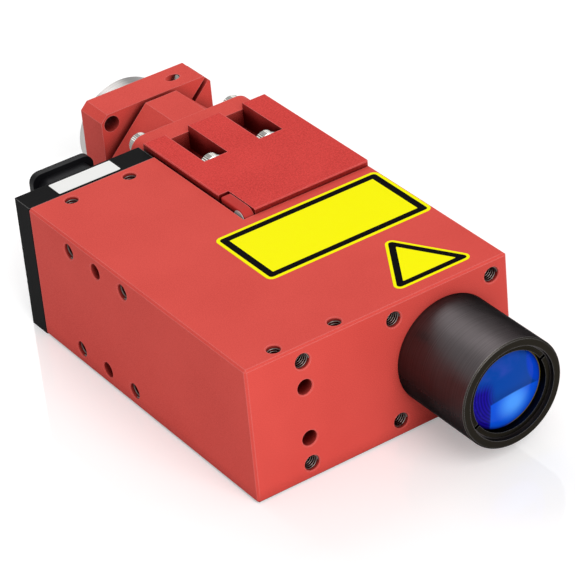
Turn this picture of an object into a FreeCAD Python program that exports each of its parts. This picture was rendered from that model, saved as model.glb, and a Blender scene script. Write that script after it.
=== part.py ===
import FreeCAD, Part
import math
import os
import re

import Sketcher

# Laser processing head: a focusing unit with a fibre collimator behind and an objective in front.
# Millimetres. The beam runs along Y, from the collimator at +Y to the objective at -Y.
# The origin is the point where the optical axis leaves the housing's front face, and +Z is up.

Vector = FreeCAD.Vector

# Name, value and meaning of each driving dimension
DIMENSIONS = [
    ("body_width", 110.0, "housing, side to side"),
    ("body_height", 54.5, "housing, bottom to top"),
    ("body_length", 140.0, "housing, front face to the end plate"),
    ("axis_to_right", 28.0, "optical axis to the right side of the housing"),
    ("module_rear", 148.7, "front face to the face that carries the input flange"),
    ("edge_chamfer", 0.8, "chamfer along the housing's outer edges"),
    ("front_wall", 16.0, "housing wall behind the objective tube"),
    ("rear_wall", 6.7, "housing wall in front of the input flange"),
    ("beam_room_width", 44.0, "chamber round the beam, inside width"),
    ("room_height", 31.0, "both chambers, inside height"),
    ("recess_depth", 11.5, "top of the housing to the seat of the cover block"),
    ("partition_wall", 11.0, "wall between the two chambers"),
    ("drive_room_length", 84.0, "chamber of the drive, inside length"),
    ("side_wall", 6.0, "left wall of the housing"),
    ("passage_length", 40.0, "opening between the chambers, along the beam"),
    ("passage_height", 18.0, "opening between the chambers, height"),
    ("rear_bore_radius", 13.0, "beam hole in the rear wall"),
    ("pattern_pitch", 42.0, "columns of the bolt patterns round the axis, front and rear"),
    ("row_edge", 6.25, "top and bottom of the housing to the nearest bolt row"),
    ("thread_radius", 3.0, "M6 thread, nominal radius"),
    ("thread_depth", 12.0, "depth of the M6 threads"),
    ("mouth_chamfer", 0.35, "countersink at the mouth of a thread"),
    ("dowel_radius", 3.0, "dowel hole, radius"),
    ("dowel_depth", 9.0, "dowel hole, depth"),
    ("side_row", 23.0, "left side of the housing to the second row of front holes"),
    ("dowel_pitch", 21.0, "front dowel holes, centre to centre"),
    ("side_first", 78.0, "front face to the first holes in the left side"),
    ("side_pitch", 36.0, "threads in the left side, along the beam"),
    ("top_first_x", 15.0, "left side to the first column of threads in the top"),
    ("top_pitch_x", 25.0, "threads in the top, across"),
    ("top_first_y", 5.0, "front face to the first threads in the top"),
    ("top_pitch_y", 130.0, "threads in the top, along the beam"),
    ("top_depth", 9.0, "threads in the top, depth"),
    ("gasket_thickness", 0.5, "flat seal under the cover block"),
    ("cover_length", 67.7, "cover block, along the beam"),
    ("cover_rise", 2.0, "cover block above the top of the housing"),
    ("cover_side_gap", 0.9, "gap between the cover block's left side and the housing"),
    ("cover_front_gap", 0.35, "gap between the cover block's front and the housing"),
    ("cover_side", 27.0, "optical axis to the cover block's left side"),
    ("cover_chamfer", 0.35, "chamfer along the cover block's top edges"),
    ("cover_corner", 1.5, "round of the cover block's front right corner"),
    ("pocket_width", 10.4, "screw pocket in the cover block, width"),
    ("pocket_length", 27.0, "screw pocket in the cover block, length"),
    ("pocket_pitch", 24.6, "screw pockets, centre to centre"),
    ("pocket_floor_drop", 10.2, "top of the cover block to the floor of a pocket"),
    ("cover_screw_drop", 5.0, "top of the cover block to the axis of its screws"),
    ("cover_screw_radius", 2.5, "M5 screw, nominal radius"),
    ("cover_screw_length", 54.0, "M5 screw, length under the head"),
    ("cover_screw_grip", 12.0, "M5 thread in the housing"),
    ("cover_head_radius", 4.25, "M5 cap head, radius"),
    ("cover_head_height", 5.0, "M5 cap head, height"),
    ("washer_radius", 5.0, "washer under the M5 head, radius"),
    ("washer_thickness", 1.0, "washer under the M5 head, thickness"),
    ("hole_play", 0.25, "radial play of a screw in a through hole"),
    ("thread_play", 0.02, "radial play of a screw drawn at its nominal size"),
    ("lever_width", 4.0, "release lever, width"),
    ("lever_length", 16.4, "release lever, nose to tip"),
    ("lever_nose", 4.0, "release lever, radius of the nose round its pin"),
    ("lever_drop", 0.2, "top of the cover block to the top of the lever"),
    ("lever_gap", 0.3, "gap round the release lever"),
    ("lever_tip_round", 0.6, "round at the outer top edge of the lever"),
    ("lever_heel_round", 1.5, "round at the lower edge of the lever's tip"),
    ("pin_radius", 1.5, "pin of the release lever, radius"),
    ("pin_play", 0.04, "radial play of the lever on its pin"),
    ("pin_head_radius", 3.3, "head of the lever's pin, radius"),
    ("pin_head_height", 0.5, "head of the lever's pin, height"),
    ("pin_depth", 5.0, "depth of the lever's pin in the cover block"),
    ("end_plate_thickness", 11.0, "end plate of the drive chamber"),
    ("end_plate_right", 28.2, "optical axis to the inner end of the end plate"),
    ("end_plate_round", 0.8, "round along the end plate's rear edges"),
    ("end_screw_radius", 1.5, "M3 screws of the end plate, nominal radius"),
    ("end_screw_inset", 5.0, "end plate's edges to its screws"),
    ("end_screw_length", 16.0, "M3 screws of the end plate, length under the head"),
    ("end_head_radius", 2.75, "M3 cap head, radius"),
    ("end_head_height", 3.0, "M3 cap head, height"),
    ("shroud_centre", 51.25, "optical axis to the middle of the connector shroud"),
    ("shroud_width", 22.5, "connector shroud, outside width"),
    ("shroud_height", 37.0, "connector shroud, outside height"),
    ("shroud_wall", 2.2, "connector shroud, wall"),
    ("shroud_length", 21.0, "connector shroud, end plate to its rim"),
    ("shroud_lip", 2.0, "rim of the connector shroud, outwards"),
    ("shroud_lip_length", 3.0, "rim of the connector shroud, along the beam"),
    ("shroud_corner", 4.0, "connector shroud, corner radius"),
    ("plug_width", 12.5, "connector flange, width"),
    ("plug_height", 30.8, "connector flange, height"),
    ("plug_flange", 1.0, "connector flange, thickness"),
    ("plug_shell_width", 8.4, "connector shell, width"),
    ("plug_shell_height", 16.9, "connector shell, height"),
    ("plug_shell_length", 6.0, "connector shell, length"),
    ("plug_shell_wall", 0.6, "connector shell, wall"),
    ("plug_body_depth", 9.0, "connector insulator inside the end plate"),
    ("jack_pitch", 25.0, "hexagon posts of the connector, centre to centre"),
    ("jack_width", 4.8, "hexagon posts of the connector, across flats"),
    ("jack_length", 5.0, "hexagon posts of the connector, length"),
    ("contact_radius", 0.5, "connector contact, radius"),
    ("contact_pitch", 2.75, "connector contacts, centre to centre"),
    ("contact_length", 3.5, "connector contact beyond the insulator"),
    ("tube_radius", 21.0, "objective tube, outer radius"),
    ("tube_length", 37.0, "objective tube in front of the housing"),
    ("spigot_radius", 17.0, "spigot of the objective tube, radius"),
    ("spigot_length", 14.0, "spigot of the objective tube, length"),
    ("spigot_play", 0.05, "radial play of the spigot in the front wall"),
    ("tube_mouth_radius", 17.9, "mouth of the objective tube, radius"),
    ("tube_mouth_depth", 1.5, "rim of the tube to the face of the retaining ring"),
    ("lens_bore_radius", 17.4, "lens bore of the objective tube, radius"),
    ("tube_bore_radius", 14.4, "clear bore behind the objective lenses, radius"),
    ("optic_play", 0.05, "radial play of an optic in its bore"),
    ("ring_thickness", 3.0, "front retaining ring, thickness"),
    ("ring_bore", 15.5, "front retaining ring, clear radius"),
    ("ring_slot_width", 1.2, "spanner slot of a retaining ring, width"),
    ("ring_slot_depth", 1.0, "spanner slot of a retaining ring, depth"),
    ("ring_slot_turn", 28.0, "degrees between the spanner slots and level"),
    ("front_lens_edge", 3.0, "front lens, thickness at the edge"),
    ("front_lens_bulge", 2.4, "front lens, height of its outer face"),
    ("rear_lens_edge", 5.0, "rear objective lens, thickness at the edge"),
    ("rear_lens_bulge", 2.2, "rear objective lens, height of its faces"),
    ("spacer_length", 9.0, "spacer between the objective lenses"),
    ("spacer_wall", 1.8, "spacer between the objective lenses, wall"),
    ("baffle_pitch", 2.25, "light baffle grooves, pitch"),
    ("baffle_depth", 0.6, "light baffle grooves, depth"),
    ("seal_radius", 0.9, "seal ring of the tube, half its width"),
    ("seal_path_radius", 18.6, "seal ring of the tube, mean radius"),
    ("flange_width", 54.4, "input flange, width"),
    ("flange_inset", 0.9, "top of the housing to the top of the input flange"),
    ("flange_corner", 6.0, "input flange, corner radius"),
    ("flange_thickness", 10.0, "input flange, thickness"),
    ("octagon_size", 52.3, "octagonal block, across its upright flats"),
    ("octagon_inset", 1.1, "top of the housing to the top of the octagonal block"),
    ("octagon_clear", 2.0, "bevels of the octagonal block to the cap heads beside them"),
    ("octagon_length", 20.3, "octagonal block, length"),
    ("flange_bore_radius", 10.0, "beam hole of the input flange"),
    ("window_radius", 11.4, "protective window, radius"),
    ("window_thickness", 2.2, "protective window, thickness"),
    ("window_ring_length", 2.0, "retaining ring of the protective window"),
    ("window_ring_bore", 10.2, "retaining ring of the protective window, clear radius"),
    ("boss_length", 4.0, "locating boss of the input flange"),
    ("boss_play", 0.03, "radial play of the locating boss"),
    ("clamp_gap", 4.0, "octagonal block to the clamp plate"),
    ("clamp_size", 50.0, "clamp plate, side of its square"),
    ("clamp_thickness", 15.0, "clamp plate, thickness"),
    ("clamp_corner", 3.0, "clamp plate, corner bevel"),
    ("clamp_hole_pitch", 41.0, "corner holes of the clamp plate, centre to centre"),
    ("clamp_hole_radius", 3.3, "corner holes of the clamp plate, radius"),
    ("clamp_slit", 2.0, "slit of the clamp plate, width"),
    ("neck_radius", 18.0, "neck that the clamp plate grips, outer radius"),
    ("neck_bore", 15.0, "bore of the neck, radius"),
    ("neck_slot", 1.5, "relief slots of the neck, width"),
    ("fit_play", 0.03, "radial play of the turning fits"),
    ("clamp_screw_radius", 2.0, "M4 clamp screw, nominal radius"),
    ("clamp_screw_length", 8.0, "M4 clamp screw, length under the head"),
    ("clamp_screw_reach", 26.5, "optical axis to the clamp screw, along the slit"),
    ("clamp_head_radius", 3.5, "M4 cap head, radius"),
    ("clamp_head_height", 4.0, "M4 cap head, height"),
    ("clamp_screw_wall", 2.0, "slit of the clamp plate to the seat of its screw"),
    ("flange_screw_radius", 2.5, "M5 screws of the input flange, nominal radius"),
    ("flange_screw_length", 22.0, "M5 screws of the input flange, length under the head"),
    ("flange_head_radius", 4.25, "cap head of the flange screws, radius"),
    ("flange_head_height", 5.0, "cap head of the flange screws, height"),
    ("collimator_radius", 20.8, "head of the collimator, radius"),
    ("collimator_head", 13.0, "head of the collimator, length"),
    ("stub_radius", 12.0, "stub round the fibre port, radius"),
    ("stub_length", 5.5, "stub round the fibre port, length"),
    ("collimator_gap", 0.3, "clamp plate to the head of the collimator"),
    ("collimator_barrel", 30.0, "barrel of the collimator, length"),
    ("collimator_bore", 11.5, "bore of the collimator, radius"),
    ("port_radius", 8.0, "bore that takes the fibre plug, radius"),
    ("port_depth", 14.0, "bore that takes the fibre plug, depth"),
    ("collimator_lens_radius", 11.4, "collimator lens, radius"),
    ("collimator_lens_edge", 4.0, "collimator lens, thickness at the edge"),
    ("collimator_lens_bulge", 1.6, "collimator lens, height of its outer face"),
    ("collimator_ring_length", 3.0, "retaining ring of the collimator lens"),
    ("collimator_ring_bore", 9.6, "retaining ring of the collimator lens, clear radius"),
    ("carriage_rest", 108.0, "front face to the middle of the carriage at rest"),
    ("carriage_length", 26.0, "lens carriage, length"),
    ("carriage_width", 40.0, "lens carriage, width of its base"),
    ("carriage_base", 3.0, "lens carriage, thickness of its base"),
    ("barrel_radius", 12.5, "lens barrel of the carriage, outer radius"),
    ("barrel_bore", 10.2, "lens barrel of the carriage, bore"),
    ("barrel_seat", 9.0, "lens seat of the carriage, clear radius"),
    ("moving_lens_edge", 5.0, "moving lens, thickness at the edge"),
    ("moving_lens_hollow", 1.5, "moving lens, depth of its faces"),
    ("moving_ring_length", 2.5, "retaining ring of the moving lens"),
    ("arm_height", 8.0, "drive arm of the carriage, height"),
    ("arm_length", 12.0, "drive arm of the carriage, along the beam"),
    ("rail_pitch", 32.0, "guide rails, centre to centre"),
    ("rail_width", 5.0, "guide rail, width"),
    ("rail_height", 3.2, "guide rail, height"),
    ("rail_length", 44.0, "guide rail, length"),
    ("block_width", 9.0, "runner block, width"),
    ("block_height", 3.6, "runner block, height above the rail's foot"),
    ("block_length", 9.0, "runner block, length"),
    ("block_lift", 0.8, "floor of the chamber to the underside of a runner block"),
    ("rail_play", 0.05, "play of a runner block on its rail"),
    ("coil_side_gap", 3.0, "voice-coil yoke to the wall between the chambers"),
    ("yoke_radius", 14.0, "voice-coil yoke, outer radius"),
    ("yoke_bore", 12.0, "voice-coil yoke, inner radius"),
    ("yoke_length", 28.0, "voice-coil yoke, length"),
    ("yoke_base", 4.0, "voice-coil yoke, thickness of its closed end"),
    ("magnet_radius", 7.8, "magnet in the voice coil, radius"),
    ("magnet_length", 18.0, "magnet in the voice coil, length"),
    ("pole_length", 5.0, "pole cap on the magnet, length"),
    ("bobbin_bore", 8.4, "coil former, inner radius"),
    ("bobbin_wall", 0.9, "coil former, wall"),
    ("bobbin_length", 29.0, "coil former, length"),
    ("bobbin_clear", 5.0, "yoke's closed end to the coil former at rest"),
    ("winding_thickness", 1.9, "coil winding, thickness"),
    ("winding_length", 15.0, "coil winding, length"),
    ("board_length", 70.0, "control board, length"),
    ("board_height", 26.0, "control board, height"),
    ("board_thickness", 1.6, "control board, thickness"),
    ("board_standoff", 3.0, "left wall to the control board"),
    ("standoff_radius", 2.2, "spacer of the control board, radius"),
    ("board_screw_radius", 1.25, "M2.5 screws of the control board, radius"),
    ("board_hole_inset", 3.5, "edges of the control board to its screws"),
    ("board_head_radius", 2.2, "head of a board screw, radius"),
    ("board_head_height", 1.4, "head of a board screw, height"),
    ("chip_height", 1.8, "housing of the board's chips, height"),
    ("chip_length", 8.0, "housing of the board's chips, along the beam"),
    ("chip_width", 10.0, "housing of the board's chips, upwards"),
    ("chip_pitch", 14.5, "chips of the board, centre to centre"),
    ("scale_length", 24.0, "encoder scale, length"),
    ("scale_height", 5.0, "encoder scale, height"),
    ("scale_thickness", 0.8, "encoder scale, thickness"),
    ("scale_side", 14.5, "optical axis to the outer face of the encoder scale"),
    ("reader_gap", 0.8, "encoder scale to the read head"),
    ("reader_length", 12.0, "encoder read head, length"),
    ("reader_height", 10.0, "encoder read head, height"),
    ("travel", 4.0, "travel of the carriage, each way"),
    ("bumper_radius", 2.5, "rubber end stop, radius"),
    ("bumper_clear", 0.5, "carriage at the end of its travel to an end stop"),
    ("bumper_height", 5.0, "rubber end stop, height"),
]

document = FreeCAD.newDocument("LaserProcessingHead")
sheet = document.addObject("Spreadsheet::Sheet", "Dimensions")
for row, (alias, size, meaning) in enumerate(DIMENSIONS, start=1):
    sheet.set(f"A{row}", meaning)
    sheet.set(f"B{row}", str(size))
    sheet.setAlias(f"B{row}", alias)
document.recompute()

ALIASES = {alias for alias, size, meaning in DIMENSIONS}
NODES = []


def linked(text):
    """Turn a formula of dimension names into one that reads the spreadsheet."""
    def prefix(match):
        word = match.group(0)
        return f"Dimensions.{word}" if word in ALIASES else word
    return re.sub(r"[a-z][a-z_]*", prefix, str(text))


def size(text):
    """Return the number that a formula of dimension names gives."""
    return float(sheet.evalExpression(linked(text)))


def dome(radius, bulge, at):
    """Return the formula for how far a domed face stands above its rim, at a distance from its axis."""
    curve = f"((({radius})^2 + ({bulge})^2) / (2 * ({bulge})))"
    return f"(sqrt({curve}^2 - ({at})^2) - {curve} + ({bulge}))"


# Places that several pieces share, as formulas of the driving dimensions
LEFT = "(axis_to_right - body_width)"
RIGHT = "axis_to_right"
TOP = "(body_height / 2)"
BOTTOM = "(-body_height / 2)"
FLOOR = "(-room_height / 2)"
SEAT = "(body_height / 2 - recess_depth)"
COVER_TOP = "(body_height / 2 + cover_rise)"
COVER_BOTTOM = f"({SEAT} + gasket_thickness)"
COVER_FRONT = "(module_rear - cover_length)"
COVER_LEFT = "(-cover_side)"
COVER_SCREW_Z = f"({COVER_TOP} - cover_screw_drop)"
RECESS_LEFT = "(-cover_side - cover_side_gap)"
HALF_PITCH = "(pattern_pitch / 2)"
HALF_ROW = "(body_height / 2 - row_edge)"
SIDE_ROW_X = f"({LEFT} + side_row)"
DRIVE_LEFT = f"({LEFT} + side_wall)"
DRIVE_RIGHT = "(-beam_room_width / 2 - partition_wall)"
DRIVE_FRONT = "(body_length - drive_room_length)"
PIN_Y = f"({COVER_FRONT} + lever_nose)"
PIN_Z = f"({COVER_TOP} - lever_drop - lever_nose)"
LEVER_LEFT = f"({COVER_LEFT} + 0.1)"
FLANGE_REAR = "(module_rear + flange_thickness)"
OCTAGON_REAR = f"({FLANGE_REAR} + octagon_length)"
CLAMP_FRONT = f"({OCTAGON_REAR} + clamp_gap)"
CLAMP_REAR = f"({CLAMP_FRONT} + clamp_thickness)"
HEAD_FRONT = f"({CLAMP_REAR} + collimator_gap)"
BARREL_FRONT = f"({CLAMP_REAR} - collimator_barrel)"
RING_FACE = "(-tube_length + tube_mouth_depth)"
OPTIC = "(lens_bore_radius - optic_play)"
FRONT_LENS_Y = f"({RING_FACE} + ring_thickness + {dome(OPTIC, 'front_lens_bulge', 'ring_bore')})"
SPACER_Y = f"({FRONT_LENS_Y} + front_lens_edge)"
SPACER_END = f"({SPACER_Y} + spacer_length)"
SPACER_BORE = f"({OPTIC} - spacer_wall)"
REAR_LENS_Y = f"({SPACER_END} + {dome(OPTIC, 'rear_lens_bulge', SPACER_BORE)})"
LENS_SEAT_Y = f"({REAR_LENS_Y} + rear_lens_edge)"
PLATE_REAR = "(body_length + end_plate_thickness)"
COIL_X = f"({DRIVE_RIGHT} - coil_side_gap - yoke_radius)"
BOARD_FACE = f"({DRIVE_LEFT} + board_standoff + board_thickness)"
BOARD_MIDDLE = "(body_length - drive_room_length / 2)"
CARRIAGE_FRONT = "(carriage_rest - carriage_length / 2)"
CARRIAGE_REAR = "(carriage_rest + carriage_length / 2)"
COLLIMATOR_LENS_Y = ("(" + BARREL_FRONT + " + 0.5 + collimator_ring_length + "
                     + dome("collimator_lens_radius", "collimator_lens_bulge", "collimator_ring_bore") + ")")
WINDOW_Y = "(module_rear - boss_length + window_ring_length)"
BLOCK_TOP = f"({FLOOR} + block_lift + block_height)"
BASE_TOP = f"({BLOCK_TOP} + carriage_base)"

# Each origin plane with the sign of its normal along the axis that it faces
PLANES = {"XY": ("XY_Plane", 1), "XZ": ("XZ_Plane", -1), "YZ": ("YZ_Plane", 1)}


def new_body(name):
    body = document.addObject("PartDesign::Body", name)
    body.Label = name
    NODES.append(body)
    return body


def sketch(body, name, plane, at="0"):
    """Attach a sketch to an origin plane of the body, moved along its axis to the place at."""
    role, sign = PLANES[plane]
    support = [item for item in body.Origin.OriginFeatures if item.Role == role][0]
    result = body.newObject("Sketcher::SketchObject", f"{body.Name}_{name}")
    result.AttachmentSupport = [(support, "")]
    result.MapMode = "FlatFace"
    result.setExpression("AttachmentOffset.Base.z", linked(f"{sign} * ({at})"))
    return result


def pin_point(sk, geometry, point, x, y):
    """Hold a point of the sketch at the place that two formulas give."""
    for kind, formula in (("DistanceX", x), ("DistanceY", y)):
        index = sk.addConstraint(Sketcher.Constraint(kind, -1, 1, geometry, point, size(formula)))
        sk.setExpression(f"Constraints[{index}]", linked(formula))


def outline(sk, points):
    """Draw a closed outline through points that are given as pairs of formulas."""
    first = sk.GeometryCount
    places = [Vector(size(x), size(y), 0) for x, y in points]
    count = len(places)
    for index in range(count):
        sk.addGeometry(Part.LineSegment(places[index], places[(index + 1) % count]), False)
    for index in range(count):
        following = first + (index + 1) % count
        sk.addConstraint(Sketcher.Constraint("Coincident", first + index, 2, following, 1))
    for index, (x, y) in enumerate(points):
        pin_point(sk, first + index, 1, x, y)


def rectangle(sk, x_low, y_low, x_high, y_high):
    outline(sk, [(x_low, y_low), (x_high, y_low), (x_high, y_high), (x_low, y_high)])


def circle(sk, x, y, radius):
    geometry = sk.addGeometry(Part.Circle(Vector(size(x), size(y), 0), Vector(0, 0, 1), size(radius)), False)
    pin_point(sk, geometry, 3, x, y)
    index = sk.addConstraint(Sketcher.Constraint("Radius", geometry, size(radius)))
    sk.setExpression(f"Constraints[{index}]", linked(radius))


def solid_volume(body):
    return body.Shape.Volume if body.Shape.Solids else 0.0


def finish_feature(body, feature, grows, before):
    """Recompute, and make sure that the feature has added or taken away material."""
    body.Tip = feature
    document.recompute()
    change = solid_volume(body) - before
    if (change > 0) != grows or abs(change) < 1e-6:
        raise RuntimeError(f"{feature.Name} leaves {body.Label} as it was")
    return feature


def plane_sign(sk):
    role = sk.AttachmentSupport[0][0].Role
    return dict(PLANES.values())[role]


def pad(body, sk, length, towards):
    """Add material from the sketch, towards the positive (1) or negative (-1) axis."""
    before = solid_volume(body)
    feature = body.newObject("PartDesign::Pad", f"{sk.Name}_pad")
    feature.Profile = sk
    feature.Reversed = towards != plane_sign(sk)
    feature.setExpression("Length", linked(length))
    return finish_feature(body, feature, True, before)


def pocket(body, sk, length, towards):
    """Cut material away from the sketch, towards the positive (1) or negative (-1) axis."""
    before = solid_volume(body)
    feature = body.newObject("PartDesign::Pocket", f"{sk.Name}_pocket")
    feature.Profile = sk
    feature.Reversed = towards == plane_sign(sk)
    feature.setExpression("Length", linked(length))
    return finish_feature(body, feature, False, before)


def revolve(body, sk, grows=True):
    """Turn the sketch round its vertical axis, to add material or to cut a groove."""
    before = solid_volume(body)
    kind = "PartDesign::Revolution" if grows else "PartDesign::Groove"
    feature = body.newObject(kind, f"{sk.Name}_turn")
    feature.Profile = sk
    feature.ReferenceAxis = (sk, ["V_Axis"])
    feature.Angle = 360
    return finish_feature(body, feature, grows, before)


def edge_names(feature, wanted):
    """Name the edges whose end points all pass the test."""
    names = []
    for index, edge in enumerate(feature.Shape.Edges, start=1):
        if len(edge.Vertexes) == 2 and wanted(edge.Vertexes[0].Point, edge.Vertexes[1].Point):
            names.append(f"Edge{index}")
    return names


def dress(body, kind, prop, amount, wanted):
    """Fillet or chamfer the edges of the body that pass the test."""
    base = body.Tip
    before = body.Shape.Volume
    feature = body.newObject(f"PartDesign::{kind}", f"{body.Name}_{kind.lower()}")
    feature.Base = (base, edge_names(base, wanted))
    feature.setExpression(prop, linked(amount))
    return finish_feature(body, feature, False, before)


def fillet(body, radius, wanted):
    return dress(body, "Fillet", "Radius", radius, wanted)


def chamfer(body, width, wanted):
    return dress(body, "Chamfer", "Size", width, wanted)


def close(a, b):
    return abs(a - b) < 1e-4


def primitive(kind, name, sizes, place, turn=(Vector(0, 0, 1), 0)):
    """Make a Part primitive with its sizes and its place bound to the spreadsheet."""
    item = document.addObject(f"Part::{kind}", name)
    item.Placement = FreeCAD.Placement(Vector(), FreeCAD.Rotation(*turn))
    for prop, formula in sizes.items():
        item.setExpression(prop, linked(formula))
    for axis, formula in zip("xyz", place):
        item.setExpression(f"Placement.Base.{axis}", linked(formula))
    return item


def boolean(kind, name, base, tool):
    item = document.addObject(f"Part::{kind}", name)
    item.Base = base
    item.Tool = tool
    return item


def compound(name, items):
    item = document.addObject("Part::Compound", name)
    item.Label = name
    item.Links = items
    NODES.append(item)
    return item


def keep(item, name):
    item.Label = name
    NODES.append(item)
    return item


# Turns that lay a primitive, which stands along Z, along another axis
ALONG_Y = (Vector(1, 0, 0), -90)
AGAINST_Y = (Vector(1, 0, 0), 90)
ALONG_X = (Vector(0, 1, 0), 90)
AGAINST_X = (Vector(0, 1, 0), -90)
STEP = {"ALONG_Y": (0, 1, 0), "AGAINST_Y": (0, -1, 0), "ALONG_X": (1, 0, 0), "AGAINST_X": (-1, 0, 0)}
TURN = {"ALONG_Y": ALONG_Y, "AGAINST_Y": AGAINST_Y, "ALONG_X": ALONG_X, "AGAINST_X": AGAINST_X}


def moved(place, way, distance):
    """Return a place moved by a formula along the way that a piece points."""
    return tuple(f"({formula}) + ({step}) * ({distance})" for formula, step in zip(place, STEP[way]))


def cap_screw(name, way, place, radius, length, head_radius, head_height, key):
    """Socket cap screw. place is the underside of its head, and way is where the shank points."""
    away = {"ALONG_Y": "AGAINST_Y", "AGAINST_Y": "ALONG_Y", "ALONG_X": "AGAINST_X", "AGAINST_X": "ALONG_X"}[way]
    shank = primitive("Cylinder", f"{name}_shank", {"Radius": f"{radius} - thread_play", "Height": length},
                      place, TURN[way])
    head = primitive("Cylinder", f"{name}_head", {"Radius": head_radius, "Height": head_height},
                     place, TURN[away])
    whole = boolean("Fuse", f"{name}_whole", head, shank)
    socket_place = moved(place, away, f"({head_height}) / 2")
    socket = primitive("Prism", f"{name}_key", {"Circumradius": key, "Height": head_height},
                       socket_place, TURN[away])
    socket.Polygon = 6
    return boolean("Cut", name, whole, socket)


def tapped_holes(body, holes, plane, at, towards, radius, depth):
    """Blind holes from one face, each with a small countersink at its mouth."""
    bores = sketch(body, f"holes_{len(body.Group)}", plane, at)
    for x, y in holes:
        circle(bores, x, y, radius)
    pocket(body, bores, depth, towards)
    axis = {"YZ": 0, "XZ": 1, "XY": 2}[plane]
    level = size(at)
    base = body.Tip
    names = []
    for index, edge in enumerate(base.Shape.Edges, start=1):
        round_edge = len(edge.Vertexes) == 1 and isinstance(edge.Curve, Part.Circle)
        if round_edge and close(edge.Curve.Radius, size(radius)) and close(edge.Curve.Center[axis], level):
            names.append(f"Edge{index}")
    before = body.Shape.Volume
    feature = body.newObject("PartDesign::Chamfer", f"mouths_{len(body.Group)}")
    feature.Base = (base, names)
    feature.setExpression("Size", linked("mouth_chamfer"))
    finish_feature(body, feature, False, before)


def build_housing():
    """Milled block with two chambers, a seat for the cover block and its outside hole patterns."""
    body = new_body("housing")
    plan = sketch(body, "plan", "XY", BOTTOM)
    outline(plan, [(LEFT, "0"), (RIGHT, "0"), (RIGHT, "module_rear"), (RECESS_LEFT, "module_rear"),
                   (RECESS_LEFT, "body_length"), (LEFT, "body_length")])
    pad(body, plan, "body_height", 1)
    low, high, left, right = size(BOTTOM), size(TOP), size(LEFT), size(RIGHT)

    def outer_edge(a, b):
        on_front = close(a.y, 0) and close(b.y, 0)
        on_left = close(a.x, left) and close(b.x, left) and not (close(a.y, b.y) and a.y > 1)
        on_right = close(a.x, right) and close(b.x, right) and not (close(a.y, b.y) and a.y > 1)
        return on_front or on_left or on_right

    chamfer(body, "edge_chamfer", outer_edge)

    seat = sketch(body, "seat", "XY", f"{TOP} + 1")
    rectangle(seat, RECESS_LEFT, f"{COVER_FRONT} - cover_front_gap", f"{RIGHT} + 1", "module_rear + 1")
    pocket(body, seat, "recess_depth + 1", -1)

    beam = sketch(body, "beam_room", "XY", SEAT)
    rectangle(beam, "-beam_room_width / 2", f"{COVER_FRONT} + 4", "beam_room_width / 2",
              "module_rear - rear_wall")
    pocket(body, beam, f"{SEAT} - {FLOOR}", -1)

    front_room = sketch(body, "front_room", "XZ", "front_wall")
    circle(front_room, "0", "0", "room_height / 2")
    pocket(body, front_room, f"{COVER_FRONT} + 5 - front_wall", 1)

    drive = sketch(body, "drive_room", "XZ", "body_length")
    rectangle(drive, DRIVE_LEFT, FLOOR, DRIVE_RIGHT, "room_height / 2")
    pocket(body, drive, "drive_room_length", -1)

    passage = sketch(body, "passage", "YZ", f"{DRIVE_RIGHT} - 1")
    rectangle(passage, "carriage_rest - passage_length / 2", "-passage_height / 2",
              "carriage_rest + passage_length / 2", "passage_height / 2")
    pocket(body, passage, f"-beam_room_width / 2 + 1 - {DRIVE_RIGHT} + 1", 1)

    bore = sketch(body, "tube_bore", "XZ", "0")
    circle(bore, "0", "0", "spigot_radius + spigot_play")
    pocket(body, bore, "front_wall", 1)
    rear = sketch(body, "rear_bore", "XZ", "module_rear")
    circle(rear, "0", "0", "rear_bore_radius")
    pocket(body, rear, "rear_wall", -1)

    square = [(f"{a} * {HALF_PITCH}", f"{b} * {HALF_ROW}") for a in (-1, 1) for b in (-1, 1)]
    row = [(SIDE_ROW_X, f"{b} * {HALF_ROW}") for b in (-1, 1)]
    tapped_holes(body, square + row, "XZ", "0", 1, "thread_radius", "thread_depth")
    dowels = [(SIDE_ROW_X, f"{b} * dowel_pitch / 2") for b in (-1, 1)]
    tapped_holes(body, dowels, "XZ", "0", 1, "dowel_radius", "dowel_depth")
    side = [(f"side_first + {a} * side_pitch", f"{b} * {HALF_ROW}") for a in (0, 1) for b in (-1, 1)]
    tapped_holes(body, side, "YZ", LEFT, 1, "thread_radius", "thread_depth")
    side_dowels = [("side_first + side_pitch / 2", f"{b} * {HALF_ROW}") for b in (-1, 1)]
    tapped_holes(body, side_dowels, "YZ", LEFT, 1, "dowel_radius", "dowel_depth")
    top = [(f"{LEFT} + top_first_x + {a} * top_pitch_x", f"top_first_y + {b} * top_pitch_y")
           for a in (0, 1) for b in (0, 1)]
    tapped_holes(body, top, "XY", TOP, -1, "thread_radius - 0.5", "top_depth")
    lower = [(f"{a} * {HALF_PITCH}", f"-{HALF_ROW}") for a in (-1, 1)]
    tapped_holes(body, lower, "XZ", "module_rear", -1, "flange_screw_radius",
                  "flange_screw_length - flange_thickness + 1")
    screws = [(f"{a} * pocket_pitch / 2", COVER_SCREW_Z) for a in (-1, 1)]
    tapped_holes(body, screws, "XZ", f"{COVER_FRONT} - cover_front_gap", -1, "cover_screw_radius",
                  "cover_screw_grip + 1.5")
    tapped_holes(body, end_screw_places(), "XZ", "body_length", -1, "end_screw_radius",
                  "end_screw_length - end_plate_thickness + end_head_height + 1")


def end_screw_places():
    """Corners of the end plate, inset by one distance."""
    left = f"{LEFT} + end_screw_inset"
    right = "-end_plate_right - end_screw_inset"
    low = f"{BOTTOM} + end_screw_inset"
    high = f"{TOP} - end_screw_inset"
    return [(left, low), (right, low), (left, high), (right, high)]


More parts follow.
